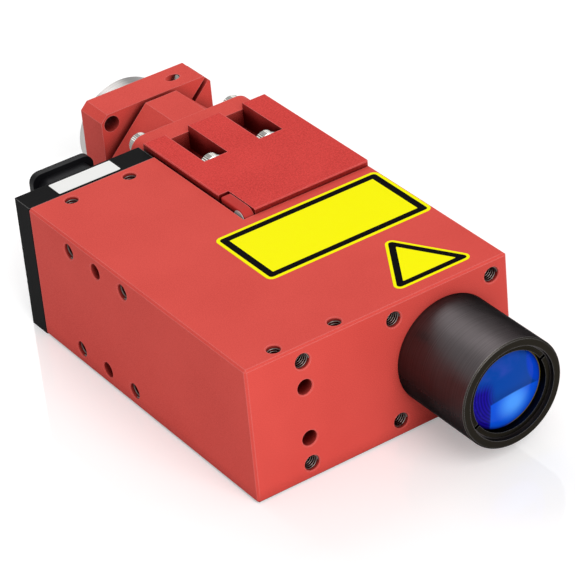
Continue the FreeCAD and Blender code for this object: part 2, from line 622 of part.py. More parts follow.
def build_cover_block():
    """Thick cover over the beam chamber, with two screw pockets open to the rear."""
    body = new_body("cover_block")
    plan = sketch(body, "plan", "XY", COVER_BOTTOM)
    rectangle(plan, COVER_LEFT, COVER_FRONT, RIGHT, "module_rear")
    pad(body, plan, f"{COVER_TOP} - {COVER_BOTTOM}", 1)
    high, front, right = size(COVER_TOP), size(COVER_FRONT), size(RIGHT)
    fillet(body, "cover_corner", lambda a, b: close(a.x, right) and close(b.x, right)
           and close(a.y, front) and close(b.y, front))
    chamfer(body, "cover_chamfer", lambda a, b: close(a.z, high) and close(b.z, high))

    pockets = sketch(body, "pockets", "XY", COVER_TOP)
    for side in (-1, 1):
        middle = f"{side} * pocket_pitch / 2"
        rectangle(pockets, f"{middle} - pocket_width / 2", "module_rear - pocket_length",
                  f"{middle} + pocket_width / 2", "module_rear + 1")
    pocket(body, pockets, "pocket_floor_drop", -1)

    holes = sketch(body, "screw_holes", "XZ", "module_rear - pocket_length")
    for side in (-1, 1):
        circle(holes, f"{side} * pocket_pitch / 2", COVER_SCREW_Z,
               "cover_screw_radius + hole_play")
    pocket(body, holes, "cover_length - pocket_length", -1)

    ears = sketch(body, "flange_threads", "XZ", "module_rear")
    for side in (-1, 1):
        circle(ears, f"{side} * {HALF_PITCH}", HALF_ROW, "flange_screw_radius")
    pocket(body, ears, "flange_screw_length - flange_thickness + 1", -1)

    notch = sketch(body, "lever_notch", "XY", COVER_TOP)
    rectangle(notch, f"{COVER_LEFT} - 1", f"{COVER_FRONT} - 1",
              f"{LEVER_LEFT} + lever_width + lever_gap", f"{COVER_FRONT} + lever_length + lever_gap * 2")
    pocket(body, notch, "lever_drop + lever_nose * 2 + lever_gap", -1)

    pin_hole = sketch(body, "pin_hole", "YZ", f"{LEVER_LEFT} + lever_width")
    circle(pin_hole, PIN_Y, PIN_Z, "pin_radius + thread_play")
    pocket(body, pin_hole, "pin_depth + 0.2", 1)


def build_cover_gasket():
    """Flat seal between the cover block and its seat, round the beam chamber."""
    body = new_body("cover_gasket")
    plan = sketch(body, "plan", "XY", SEAT)
    rectangle(plan, f"{COVER_LEFT} + 1", f"{COVER_FRONT} + 1", f"{RIGHT} - 1", "module_rear - 1")
    rectangle(plan, "-beam_room_width / 2 - 0.5", f"{COVER_FRONT} + 3.5", "beam_room_width / 2 + 0.5",
              "module_rear - rear_wall + 0.5")
    pad(body, plan, "gasket_thickness", 1)


def build_lever():
    """Release lever in the front corner of the cover block, with a round nose about its pin."""
    body = new_body("release_lever")
    low = f"{PIN_Z} - lever_nose"
    high = f"{PIN_Z} + lever_nose"
    profile = sketch(body, "profile", "YZ", LEVER_LEFT)
    rectangle(profile, PIN_Y, low, f"{COVER_FRONT} + lever_length", high)
    pad(body, profile, "lever_width", 1)
    nose = sketch(body, "nose", "YZ", LEVER_LEFT)
    circle(nose, PIN_Y, PIN_Z, "lever_nose")
    pad(body, nose, "lever_width", 1)
    left, top = size(LEVER_LEFT), size(high)
    start = size(PIN_Y)
    fillet(body, "lever_tip_round", lambda a, b: close(a.x, left) and close(b.x, left)
           and close(a.z, top) and close(b.z, top) and max(a.y, b.y) > start + 1)
    bottom = size(low)
    fillet(body, "lever_heel_round", lambda a, b: close(a.z, bottom) and close(b.z, bottom)
           and close(a.y, b.y) and a.y > start + 1)
    bore = sketch(body, "pin_bore", "YZ", LEVER_LEFT)
    circle(bore, PIN_Y, PIN_Z, "pin_radius + pin_play")
    pocket(body, bore, "lever_width", 1)
    sink = sketch(body, "pin_sink", "YZ", LEVER_LEFT)
    circle(sink, PIN_Y, PIN_Z, "pin_head_radius + pin_play")
    pocket(body, sink, "pin_head_height", 1)


def build_lever_pin():
    """Headed pin that the release lever turns on."""
    head = primitive("Cylinder", "lever_pin_head", {"Radius": "pin_head_radius", "Height": "pin_head_height"},
                     (f"{LEVER_LEFT} - 0.15", PIN_Y, PIN_Z), ALONG_X)
    shank = primitive("Cylinder", "lever_pin_shank",
                      {"Radius": "pin_radius", "Height": "lever_width + pin_depth + 0.15"},
                      (f"{LEVER_LEFT} - 0.15", PIN_Y, PIN_Z), ALONG_X)
    keep(boolean("Fuse", "lever_pin_whole", head, shank), "lever_pin")


def build_cover_screws():
    """Two long screws that draw the cover block against the housing, and their washers."""
    screws, washers = [], []
    for number, side in enumerate((-1, 1), start=1):
        x = f"{side} * pocket_pitch / 2"
        wall = "module_rear - pocket_length"
        screws.append(cap_screw(f"cover_screw_{number}", "AGAINST_Y",
                                (x, f"{wall} + washer_thickness", COVER_SCREW_Z), "cover_screw_radius",
                                "cover_screw_length", "cover_head_radius", "cover_head_height", 2.3))
        disc = primitive("Cylinder", f"cover_washer_{number}_disc",
                         {"Radius": "washer_radius", "Height": "washer_thickness"},
                         (x, wall, COVER_SCREW_Z), ALONG_Y)
        hole = primitive("Cylinder", f"cover_washer_{number}_hole",
                         {"Radius": "cover_screw_radius + hole_play", "Height": "washer_thickness"},
                         (x, wall, COVER_SCREW_Z), ALONG_Y)
        washers.append(boolean("Cut", f"cover_washer_{number}", disc, hole))
    compound("cover_screws", screws)
    compound("cover_washers", washers)


def build_end_plate():
    """Plate that closes the drive chamber, with an opening for the connector."""
    body = new_body("end_plate")
    face = sketch(body, "face", "XZ", "body_length")
    rectangle(face, LEFT, BOTTOM, "-end_plate_right", TOP)
    pad(body, face, "end_plate_thickness", 1)
    rear = size(PLATE_REAR)
    left = size(LEFT)
    fillet(body, "end_plate_round", lambda a, b: (close(a.y, rear) and close(b.y, rear))
           or (close(a.x, left) and close(b.x, left) and not close(a.z, b.z)))
    opening = sketch(body, "connector_opening", "XZ", "body_length")
    rectangle(opening, "-shroud_centre - plug_width / 2 + 1.5", "-plug_shell_height / 2 - 0.5",
              "-shroud_centre + plug_width / 2 - 1.5", "plug_shell_height / 2 + 0.5")
    pocket(body, opening, "end_plate_thickness", 1)
    holes = sketch(body, "screw_holes", "XZ", "body_length")
    for x, z in end_screw_places():
        circle(holes, x, z, "end_screw_radius + hole_play")
    pocket(body, holes, "end_plate_thickness", 1)
    sinks = sketch(body, "screw_sinks", "XZ", PLATE_REAR)
    for x, z in end_screw_places():
        circle(sinks, x, z, "end_head_radius + hole_play")
    pocket(body, sinks, "end_head_height", -1)
    posts = sketch(body, "jack_holes", "XZ", PLATE_REAR)
    for side in (-1, 1):
        circle(posts, "-shroud_centre", f"{side} * jack_pitch / 2", "end_screw_radius")
    pocket(body, posts, "6", -1)


def build_end_plate_screws():
    """Four screws of the end plate, sunk in its corners."""
    screws = []
    for number, (x, z) in enumerate(end_screw_places(), start=1):
        screws.append(cap_screw(f"end_plate_screw_{number}", "AGAINST_Y",
                                (x, f"{PLATE_REAR} - end_head_height", z), "end_screw_radius",
                                "end_screw_length", "end_head_radius", "end_head_height", 1.45))
    compound("end_plate_screws", screws)


def build_connector_shroud():
    """Moulded collar round the connector, with an outward rim at its open end."""
    body = new_body("connector_shroud")

    def frame(name, at, length, grow):
        section = sketch(body, name, "XZ", at)
        rectangle(section, f"-shroud_centre - shroud_width / 2 - {grow}", f"-shroud_height / 2 - {grow}",
                  f"-shroud_centre + shroud_width / 2 + {grow}", f"shroud_height / 2 + {grow}")
        pad(body, section, length, 1)

    frame("wall", PLATE_REAR, "shroud_length", "0")
    frame("rim", f"{PLATE_REAR} + shroud_length - shroud_lip_length", "shroud_lip_length", "shroud_lip")
    fillet(body, "shroud_corner", lambda a, b: close(a.x, b.x) and close(a.z, b.z)
           and abs(a.y - b.y) > size("shroud_lip_length") / 2)
    hollow = sketch(body, "hollow", "XZ", f"{PLATE_REAR} + shroud_length")
    rectangle(hollow, "-shroud_centre - shroud_width / 2 + shroud_wall", "-shroud_height / 2 + shroud_wall",
              "-shroud_centre + shroud_width / 2 - shroud_wall", "shroud_height / 2 - shroud_wall")
    pocket(body, hollow, "shroud_length", -1)


def build_connector():
    """Signal connector of the drive: metal shell, insulator, contacts and two hexagon posts."""
    shell = new_body("connector_shell")
    flange = sketch(shell, "flange", "XZ", PLATE_REAR)
    rectangle(flange, "-shroud_centre - plug_width / 2", "-plug_height / 2",
              "-shroud_centre + plug_width / 2", "plug_height / 2")
    pad(shell, flange, "plug_flange", 1)
    wall = sketch(shell, "wall", "XZ", f"{PLATE_REAR} + plug_flange")
    d_outline(wall, "0")
    pad(shell, wall, "plug_shell_length - plug_flange", 1)
    hollow = sketch(shell, "hollow", "XZ", f"{PLATE_REAR} + plug_shell_length")
    d_outline(hollow, "plug_shell_wall")
    pocket(shell, hollow, "plug_shell_length", -1)
    jacks = sketch(shell, "jack_holes", "XZ", PLATE_REAR)
    for side in (-1, 1):
        circle(jacks, "-shroud_centre", f"{side} * jack_pitch / 2", "end_screw_radius + 0.1")
    pocket(shell, jacks, "plug_flange", 1)

    insulator = new_body("connector_insulator")
    face = sketch(insulator, "face", "XZ", f"{PLATE_REAR} + plug_flange")
    d_outline(face, "(plug_shell_wall + optic_play)")
    pad(insulator, face, "plug_flange + plug_body_depth", -1)

    contacts = []
    for column, count in ((-1, 5), (1, 4)):
        for number in range(count):
            x = f"-shroud_centre + {column} * 1.42"
            z = f"({number} - {(count - 1) / 2}) * contact_pitch"
            contact = primitive("Prism", f"contact_{column + 1}_{number}",
                                {"Circumradius": "contact_radius", "Height": "contact_length"},
                                (x, f"{PLATE_REAR} + plug_flange", z), ALONG_Y)
            contact.Polygon = 8
            contacts.append(contact)
    compound("connector_contacts", contacts)

    posts = []
    for number, side in enumerate((-1, 1), start=1):
        place = ("-shroud_centre", f"{PLATE_REAR} + plug_flange", f"{side} * jack_pitch / 2")
        nut = primitive("Prism", f"jack_{number}_nut", {"Circumradius": "jack_width / 2 / cos(30)",
                                                        "Height": "jack_length"}, place, ALONG_Y)
        nut.Polygon = 6
        stud = primitive("Cylinder", f"jack_{number}_stud",
                         {"Radius": "end_screw_radius - thread_play", "Height": "plug_flange + 5"},
                         place, AGAINST_Y)
        whole = boolean("Fuse", f"jack_{number}_whole", nut, stud)
        bore = primitive("Cylinder", f"jack_{number}_bore", {"Radius": "1.25", "Height": "jack_length - 1"},
                         moved(place, "ALONG_Y", "1"), ALONG_Y)
        posts.append(boolean("Cut", f"jack_{number}", whole, bore))
    compound("connector_posts", posts)


def d_outline(sk, inset):
    """Trapezoid of the connector shell, its long side towards the outer wall."""
    half = "plug_shell_width / 2"
    long_side = f"plug_shell_height / 2 - {inset}"
    short_side = f"plug_shell_height / 2 - 1.4 - {inset}"
    near = f"-shroud_centre + {half} - {inset}"
    far = f"-shroud_centre - {half} + {inset}"
    outline(sk, [(far, f"-({long_side})"), (near, f"-({short_side})"), (near, short_side), (far, long_side)])


def ring_profile(sk, inner, outer, front, rear):
    rectangle(sk, inner, front, outer, rear)


def build_objective_tube():
    """Turned tube that holds the objective lenses and plugs into the front wall."""
    body = new_body("objective_tube")
    profile = sketch(body, "profile", "XY")
    outline(profile, [
        ("tube_mouth_radius", "-tube_length"),
        ("tube_radius - 0.5", "-tube_length"),
        ("tube_radius", "-tube_length + 0.5"),
        ("tube_radius", "0"),
        ("spigot_radius", "0"),
        ("spigot_radius", "spigot_length"),
        ("tube_bore_radius", "spigot_length"),
        ("tube_bore_radius", LENS_SEAT_Y),
        ("lens_bore_radius", LENS_SEAT_Y),
        ("lens_bore_radius", RING_FACE),
        ("tube_mouth_radius", RING_FACE),
    ])
    revolve(body, profile)
    groove = sketch(body, "seal_groove", "XY")
    ring_profile(groove, "seal_path_radius - seal_radius - optic_play",
                 "seal_path_radius + seal_radius + optic_play", "-2 * seal_radius", "0.5")
    revolve(body, groove, grows=False)


def build_retaining_ring(name, face, thickness, bore, outer, slot_way, turn):
    """Threaded ring with two spanner slots in the face that looks out."""
    body = new_body(name)
    profile = sketch(body, "profile", "XY")
    ring_profile(profile, bore, outer, face, f"({face}) + ({thickness})")
    revolve(body, profile)
    angle = math.radians(turn)
    reach = size(outer) + 1
    half = size("ring_slot_width") / 2
    along = Vector(math.cos(angle), math.sin(angle), 0)
    across = Vector(-math.sin(angle), math.cos(angle), 0)
    slots = sketch(body, "slots", "XZ", face if slot_way > 0 else f"({face}) + ({thickness})")
    for side in (-1, 1):
        middle = size(bore) * 0.9
        corners = [along * (side * middle) + across * half, along * (side * reach) + across * half,
                   along * (side * reach) - across * half, along * (side * middle) - across * half]
        for index in range(4):
            slots.addGeometry(Part.LineSegment(corners[index], corners[(index + 1) % 4]), False)
    pocket(body, slots, "ring_slot_depth", slot_way)
    return body


def lens(name, radius, front, edge, front_bulge, rear_bulge, x="0"):
    """Round lens between two spherical faces. A negative bulge is a hollow face."""
    shape = primitive("Cylinder", f"{name}_blank",
                      {"Radius": radius,
                       "Height": f"({edge}) + {max(front_bulge, 0)} + {max(rear_bulge, 0)}"},
                      (x, f"({front}) - {max(front_bulge, 0)}", "0"), ALONG_Y)
    for which, bulge in (("front", front_bulge), ("rear", rear_bulge)):
        if not bulge:
            continue
        curve = (size(radius) ** 2 + bulge ** 2) / (2 * abs(bulge))
        outward = -1 if which == "front" else 1
        rim = size(front) if which == "front" else size(front) + size(edge)
        centre = rim + outward * bulge - outward * math.copysign(curve, bulge)
        ball = primitive("Sphere", f"{name}_{which}_ball", {"Radius": curve}, (x, centre, "0"))
        kind = "Common" if bulge > 0 else "Cut"
        shape = boolean(kind, f"{name}_{which}_face", shape, ball)
    return keep(shape, name)


def build_objective():
    """Optics of the objective: retaining ring, front lens, baffled spacer and rear lens."""
    build_retaining_ring("front_retaining_ring", RING_FACE, "ring_thickness", "ring_bore",
                         OPTIC, 1, size("ring_slot_turn"))
    lens("front_lens", OPTIC, FRONT_LENS_Y, "front_lens_edge",
         size("front_lens_bulge"), 0)
    lens("rear_objective_lens", OPTIC, REAR_LENS_Y, "rear_lens_edge",
         size("rear_lens_bulge"), 0)
    body = new_body("lens_spacer")
    profile = sketch(body, "profile", "XY")
    outer = OPTIC
    inner = SPACER_BORE
    points = [(outer, SPACER_Y), (outer, SPACER_END), (inner, SPACER_END)]
    grooves = int(size("spacer_length / baffle_pitch")) - 1
    for number in range(grooves, 0, -1):
        foot = f"{SPACER_Y} + {number} * baffle_pitch"
        points.append((inner, f"{foot} + 0.35 * baffle_pitch"))
        points.append((f"{inner} + baffle_depth", foot))
        points.append((inner, f"{foot} - 0.35 * baffle_pitch"))
    points.append((inner, SPACER_Y))
    outline(profile, points)
    revolve(body, profile)


def build_tube_seal():
    """Square seal ring between the objective tube and the front face."""
    body = new_body("tube_seal")
    profile = sketch(body, "profile", "XY")
    ring_profile(profile, "seal_path_radius - seal_radius", "seal_path_radius + seal_radius",
                 "-2 * seal_radius + optic_play", "0")
    revolve(body, profile)


def build_input_flange():
    """Square flange, octagonal block and slotted neck that carry the collimator."""
    body = new_body("input_flange")
    wide, tall = "flange_width / 2", "(body_height / 2 - flange_inset)"
    plate = sketch(body, "plate", "XZ", "module_rear")
    rectangle(plate, f"-{wide}", f"-{tall}", wide, tall)
    pad(body, plate, "flange_thickness", 1)
    fillet(body, "flange_corner", lambda a, b: close(a.x, b.x) and close(a.z, b.z))
    block = sketch(body, "octagon", "XZ", FLANGE_REAR)
    side, high = "octagon_size / 2", "(body_height / 2 - octagon_inset)"
    bevel = f"({HALF_PITCH} + {HALF_ROW} - sqrt(2) * (flange_head_radius + octagon_clear))"
    level, upright = f"({bevel} - {high})", f"({bevel} - {side})"
    outline(block, [(f"-{level}", f"-{high}"), (level, f"-{high}"), (side, f"-{upright}"), (side, upright),
                    (level, high), (f"-{level}", high), (f"-{side}", upright), (f"-{side}", f"-{upright}")])
    pad(body, block, "octagon_length", 1)
    neck = sketch(body, "neck", "XZ", OCTAGON_REAR)
    circle(neck, "0", "0", "neck_radius")
    pad(body, neck, "clamp_gap + clamp_thickness - 0.5", 1)
    boss = sketch(body, "boss", "XZ", "module_rear")
    circle(boss, "0", "0", "rear_bore_radius - boss_play")
    pad(body, boss, "boss_length", -1)
    beam = sketch(body, "beam_hole", "XZ", "module_rear - boss_length")
    circle(beam, "0", "0", "flange_bore_radius")
    pocket(body, beam, "boss_length + flange_thickness + octagon_length", 1)
    seat = sketch(body, "window_seat", "XZ", "module_rear - boss_length")
    circle(seat, "0", "0", "window_radius + optic_play")
    pocket(body, seat, "window_ring_length + window_thickness", 1)
    bore = sketch(body, "neck_bore", "XZ", CLAMP_REAR)
    circle(bore, "0", "0", "neck_bore")
    pocket(body, bore, "collimator_barrel + 1", -1)
    slots = sketch(body, "relief_slots", "XZ", CLAMP_REAR)
    rectangle(slots, "-neck_radius - 1", "-neck_slot / 2", "neck_radius + 1", "neck_slot / 2")
    pocket(body, slots, "clamp_thickness", -1)
    holes = sketch(body, "screw_holes", "XZ", FLANGE_REAR)
    for x in (-1, 1):
        for z in (-1, 1):
            circle(holes, f"{x} * {HALF_PITCH}", f"{z} * {HALF_ROW}", "flange_screw_radius + hole_play")
    pocket(body, holes, "flange_thickness", -1)


def build_window():
    """Protective window in the locating boss of the input flange, and its retaining ring."""
    disc = primitive("Cylinder", "window_disc", {"Radius": "window_radius", "Height": "window_thickness"},
                     ("0", WINDOW_Y, "0"), ALONG_Y)
    keep(disc, "protective_window")
    build_retaining_ring("window_ring", "module_rear - boss_length", "window_ring_length",
                         "window_ring_bore", "window_radius", 1, 0)


def build_flange_screws():
    """Four screws of the input flange, two into the cover block and two into the housing."""
    screws = []
    for x in (-1, 1):
        for z in (-1, 1):
            screws.append(cap_screw(f"flange_screw_{len(screws) + 1}", "AGAINST_Y",
                                    (f"{x} * {HALF_PITCH}", FLANGE_REAR, f"{z} * {HALF_ROW}"),
                                    "flange_screw_radius", "flange_screw_length", "flange_head_radius",
                                    "flange_head_height", 2.3))
    compound("flange_screws", screws)


def build_clamp_plate():
    """Split square plate that grips the neck, closed by one screw across its slit."""
    body = new_body("clamp_plate")
    half = "clamp_size / 2"
    face = sketch(body, "face", "XZ", CLAMP_FRONT)
    rectangle(face, f"-{half}", f"-{half}", half, half)
    pad(body, face, "clamp_thickness", 1)
    chamfer(body, "clamp_corner", lambda a, b: close(a.x, b.x) and close(a.z, b.z))
    bore = sketch(body, "bore", "XZ", CLAMP_FRONT)
    circle(bore, "0", "0", "neck_radius + fit_play")
    pocket(body, bore, "clamp_thickness", 1)
    holes = sketch(body, "corner_holes", "XZ", CLAMP_FRONT)
    for x, z in ((-1, -1), (-1, 1), (1, -1)):
        circle(holes, f"{x} * clamp_hole_pitch / 2", f"{z} * clamp_hole_pitch / 2", "clamp_hole_radius")
    pocket(body, holes, "clamp_thickness", 1)
    slit = sketch(body, "slit", "XZ", CLAMP_FRONT)
    shift = "clamp_slit / 2 / sqrt(2)"
    near = "neck_radius / sqrt(2) - 1"
    far = f"{half} + 2"
    outline(slit, [(f"{near} + {shift}", f"{near} - {shift}"), (f"{far} + {shift}", f"{far} - {shift}"),
                   (f"{far} - {shift}", f"{far} + {shift}"), (f"{near} - {shift}", f"{near} + {shift}")])
    pocket(body, slit, "clamp_thickness", 1)
    bore_screw = keep_clamp_hole(body)
    return bore_screw


def keep_clamp_hole(plate):
    """Cut the clamp screw's stepped hole square to the slit, and keep the plate that is left."""
    NODES.remove(plate)
    diagonal = math.radians(45)
    reach = size("clamp_screw_reach")
    middle = Vector(reach * math.cos(diagonal), size(f"{CLAMP_FRONT} + clamp_thickness / 2"),
                    reach * math.sin(diagonal))
    into = Vector(-math.cos(diagonal), 0, math.sin(diagonal))
    turn = FreeCAD.Rotation(Vector(0, 0, 1), into)
    seat = middle - into * size("clamp_slit / 2 + clamp_screw_wall")
    through = document.addObject("Part::Cylinder", "clamp_screw_hole")
    through.setExpression("Radius", linked("clamp_screw_radius + hole_play"))
    through.setExpression("Height", linked("clamp_size / 2"))
    through.Placement = FreeCAD.Placement(seat, turn)
    sink = document.addObject("Part::Cylinder", "clamp_head_sink")
    sink.setExpression("Radius", linked("clamp_head_radius + hole_play"))
    sink.Height = 30
    sink.Placement = FreeCAD.Placement(seat - into * 30, turn)
    holes = boolean("Fuse", "clamp_holes", through, sink)
    drilled = boolean("Cut", "clamp_plate_drilled", plate, holes)
    plate.Label = "clamp_plate_blank"
    keep(drilled, "clamp_plate")

    shank = document.addObject("Part::Cylinder", "clamp_screw_shank")
    shank.setExpression("Radius", linked("clamp_screw_radius - thread_play"))
    shank.setExpression("Height", linked("clamp_screw_length"))
    shank.Placement = FreeCAD.Placement(seat, turn)
    head = document.addObject("Part::Cylinder", "clamp_screw_head")
    head.setExpression("Radius", linked("clamp_head_radius"))
    head.setExpression("Height", linked("clamp_head_height"))
    head.Placement = FreeCAD.Placement(seat - into * size("clamp_head_height"), turn)
    whole = boolean("Fuse", "clamp_screw_whole", head, shank)
    socket = document.addObject("Part::Prism", "clamp_screw_key")
    socket.Polygon = 6
    socket.Circumradius = 1.75
    socket.Height = 3
    socket.Placement = FreeCAD.Placement(seat - into * (size("clamp_head_height") + 1), turn)
    keep(boolean("Cut", "clamp_screw_cut", whole, socket), "clamp_screw")


def build_collimator():
    """Fibre collimator: turned body with a bore for the fibre plug, a lens and its ring."""
    body = new_body("collimator_body")
    head_rear = f"{HEAD_FRONT} + collimator_head"
    stub_rear = f"{head_rear} + stub_length"
    port_front = f"{stub_rear} - port_depth"
    barrel = "neck_bore - fit_play"
    shelf = f"{COLLIMATOR_LENS_Y} + collimator_lens_edge"
    profile = sketch(body, "profile", "XY")
    outline(profile, [
        ("collimator_bore", BARREL_FRONT),
        (barrel, BARREL_FRONT),
        (barrel, HEAD_FRONT),
        ("collimator_radius - 0.6", HEAD_FRONT),
        ("collimator_radius", f"{HEAD_FRONT} + 0.6"),
        ("collimator_radius", f"{head_rear} - 1"),
        ("collimator_radius - 1", head_rear),
        ("stub_radius", head_rear),
        ("stub_radius", f"{stub_rear} - 0.5"),
        ("stub_radius - 0.5", stub_rear),
        ("port_radius + 0.5", stub_rear),
        ("port_radius", f"{stub_rear} - 0.5"),
        ("port_radius", port_front),
        ("5", port_front),
        ("8.6", f"{shelf} + 2"),
        ("8.6", shelf),
        ("collimator_bore", shelf),
    ])
    revolve(body, profile)
    build_retaining_ring("collimator_lens_ring", f"{BARREL_FRONT} + 0.5", "collimator_ring_length",
                         "collimator_ring_bore", "collimator_bore - optic_play", 1, 0)
    lens("collimator_lens", "collimator_lens_radius", COLLIMATOR_LENS_Y, "collimator_lens_edge",
         size("collimator_lens_bulge"), 0)


def build_rails():
    """Two guide rails on the chamber floor, and the four runner blocks of the carriage."""
    rails, blocks = [], []
    slot_half = "(rail_width / 2 + rail_play)"
    for side in (-1, 1):
        middle = f"{side} * rail_pitch / 2"
        rails.append(primitive("Box", f"rail_{side + 2}",
                               {"Length": "rail_width", "Width": "rail_length", "Height": "rail_height"},
                               (f"{middle} - rail_width / 2", "carriage_rest - rail_length / 2", FLOOR)))
        for end in (-1, 1):
            name = f"block_{side + 2}_{end + 2}"
            y = f"carriage_rest + {end} * (carriage_length - block_length) / 2 - block_length / 2"
            bulk = primitive("Box", f"{name}_bulk",
                             {"Length": "block_width", "Width": "block_length", "Height": "block_height"},
                             (f"{middle} - block_width / 2", y, f"{FLOOR} + block_lift"))
            slot = primitive("Box", f"{name}_slot",
                             {"Length": f"2 * {slot_half}", "Width": "block_length",
                              "Height": "rail_height + rail_play - block_lift"},
                             (f"{middle} - {slot_half}", y, f"{FLOOR} + block_lift"))
            blocks.append(boolean("Cut", name, bulk, slot))
    compound("guide_rails", rails)
    compound("runner_blocks", blocks)


def build_carriage():
    """Lens carriage: base plate, lens barrel and the arm that reaches the voice coil."""
    body = new_body("lens_carriage")
    base = sketch(body, "base", "XY", BLOCK_TOP)
    rectangle(base, "-carriage_width / 2", CARRIAGE_FRONT, "carriage_width / 2", CARRIAGE_REAR)
    pad(body, base, "carriage_base", 1)
    barrel = sketch(body, "barrel", "XZ", CARRIAGE_FRONT)
    circle(barrel, "0", "0", "barrel_radius")
    pad(body, barrel, "carriage_length", 1)
    arm = sketch(body, "arm", "YZ", f"{COIL_X} - bobbin_bore - bobbin_wall")
    rectangle(arm, "carriage_rest - arm_length / 2", "-arm_height / 2", "carriage_rest + arm_length / 2",
              "arm_height / 2")
    pad(body, arm, f"-{COIL_X} + bobbin_bore + bobbin_wall - barrel_radius + 2", 1)
    seat = sketch(body, "lens_seat", "XZ", CARRIAGE_FRONT)
    circle(seat, "0", "0", "barrel_seat")
    pocket(body, seat, "carriage_length", 1)
    bore = sketch(body, "lens_bore", "XZ", CARRIAGE_REAR)
    circle(bore, "0", "0", "barrel_bore")
    pocket(body, bore, "moving_lens_edge + moving_ring_length + 1", -1)

    ring_face = f"({CARRIAGE_REAR} - 1 - moving_ring_length)"
    build_retaining_ring("moving_lens_ring", ring_face, "moving_ring_length", "barrel_seat",
                         "barrel_bore - optic_play", -1, 0)
    hollow = -size("moving_lens_hollow")
    lens("moving_lens", "barrel_bore - optic_play", f"{ring_face} - moving_lens_edge", "moving_lens_edge",
         hollow, hollow)


def turned_part(name, profiles, x):
    """Body of one revolved profile per entry, its axis along the beam at the place x."""
    body = new_body(name)
    for number, points in enumerate(profiles):
        section = sketch(body, f"profile_{number}", "XY")
        outline(section, points)
        revolve(body, section)
    body.setExpression("Placement.Base.x", linked(x))
    return body


def build_voice_coil():
    """Voice coil that drives the carriage: yoke, magnet, pole cap, coil former and winding."""
    start = DRIVE_FRONT
    turned_part("coil_yoke", [[("0", start), ("yoke_radius", start),
                               ("yoke_radius", f"{start} + yoke_length"),
                               ("yoke_bore", f"{start} + yoke_length"),
                               ("yoke_bore", f"{start} + yoke_base"), ("0", f"{start} + yoke_base")]], COIL_X)
    magnet_start = f"({start} + yoke_base)"
    magnet_end = f"({magnet_start} + magnet_length)"
    turned_part("coil_magnet", [[("0", magnet_start), ("magnet_radius", magnet_start),
                                 ("magnet_radius", magnet_end), ("0", magnet_end)]], COIL_X)
    turned_part("coil_pole_cap", [[("0", magnet_end), ("magnet_radius", magnet_end),
                                   ("magnet_radius", f"{magnet_end} + pole_length - 1"),
                                   ("magnet_radius - 1", f"{magnet_end} + pole_length"),
                                   ("0", f"{magnet_end} + pole_length")]], COIL_X)
    former_start = f"({magnet_start} + bobbin_clear)"
    outer = "bobbin_bore + bobbin_wall"
    former_end = "(carriage_rest - arm_length / 2)"
    turned_part("coil_former", [[("bobbin_bore", former_start), (outer, former_start),
                                 (outer, former_end), ("0", former_end), ("0", f"{former_end} - 2"),
                                 ("bobbin_bore", f"{former_end} - 2")]], COIL_X)
    winding_start = f"({former_start} + 1)"
    winding_outer = f"{outer} + winding_thickness"
    winding_end = f"{winding_start} + winding_length"
    turned_part("coil_winding", [[(outer, winding_start), (winding_outer, winding_start),
                                  (winding_outer, winding_end), (outer, winding_end)]], COIL_X)


def board_screw_places():
    """Corners of the control board, as places along the beam and in height."""
    reach_y = "board_length / 2 - board_hole_inset"
    reach_z = "board_height / 2 - board_hole_inset"
    return [(f"{BOARD_MIDDLE} + {y} * ({reach_y})", f"{z} * ({reach_z})") for y in (-1, 1) for z in (-1, 1)]


def build_board():
    """Control board on the left wall, with its spacers, screws and larger parts."""
    body = new_body("control_board")
    face = sketch(body, "face", "YZ", f"{DRIVE_LEFT} + board_standoff")
    rectangle(face, f"{BOARD_MIDDLE} - board_length / 2", "-board_height / 2",
              f"{BOARD_MIDDLE} + board_length / 2", "board_height / 2")
    pad(body, face, "board_thickness", 1)
    holes = sketch(body, "holes", "YZ", f"{DRIVE_LEFT} + board_standoff")
    for y, z in board_screw_places():
        circle(holes, y, z, "board_screw_radius + 0.1")
    pocket(body, holes, "board_thickness", 1)

    spacers, screws = [], []
    for number, (y, z) in enumerate(board_screw_places(), start=1):
        post = primitive("Prism", f"spacer_{number}_post",
                         {"Circumradius": "standoff_radius", "Height": "board_standoff"},
                         (DRIVE_LEFT, y, z), ALONG_X)
        post.Polygon = 6
        bore = primitive("Cylinder", f"spacer_{number}_bore",
                         {"Radius": "board_screw_radius + 0.1", "Height": "board_standoff"},
                         (DRIVE_LEFT, y, z), ALONG_X)
        spacers.append(boolean("Cut", f"spacer_{number}", post, bore))
        screws.append(cap_screw(f"board_screw_{number}", "AGAINST_X", (BOARD_FACE, y, z),
                                "board_screw_radius", "board_thickness + board_standoff",
                                "board_head_radius", "board_head_height", 0.85))
    compound("board_spacers", spacers)
    compound("board_screws", screws)

    chips = []
    for number in range(4):
        middle = f"{BOARD_MIDDLE} + ({number} - 1.5) * chip_pitch"
        chips.append(primitive("Box", f"chip_{number}",
                               {"Length": "chip_height", "Width": "chip_length", "Height": "chip_width"},
                               (BOARD_FACE, f"{middle} - chip_length / 2", "-chip_width / 2")))
    compound("board_chips", chips)


def build_encoder():
    """Position encoder of the carriage: a glass scale on the barrel and a read head on the wall."""
    scale = primitive("Box", "encoder_scale_strip",
                      {"Length": "scale_thickness", "Width": "scale_length", "Height": "scale_height"},
                      ("scale_side - scale_thickness", "carriage_rest - scale_length / 2", BASE_TOP))
    keep(scale, "encoder_scale")
    reader = new_body("encoder_reader")
    face = sketch(reader, "face", "YZ", "scale_side + reader_gap")
    rectangle(face, "carriage_rest - reader_length / 2", f"{BASE_TOP} + reader_gap",
              "carriage_rest + reader_length / 2", f"{BASE_TOP} + reader_gap + reader_height")
    pad(reader, face, "beam_room_width / 2 - scale_side - reader_gap", 1)


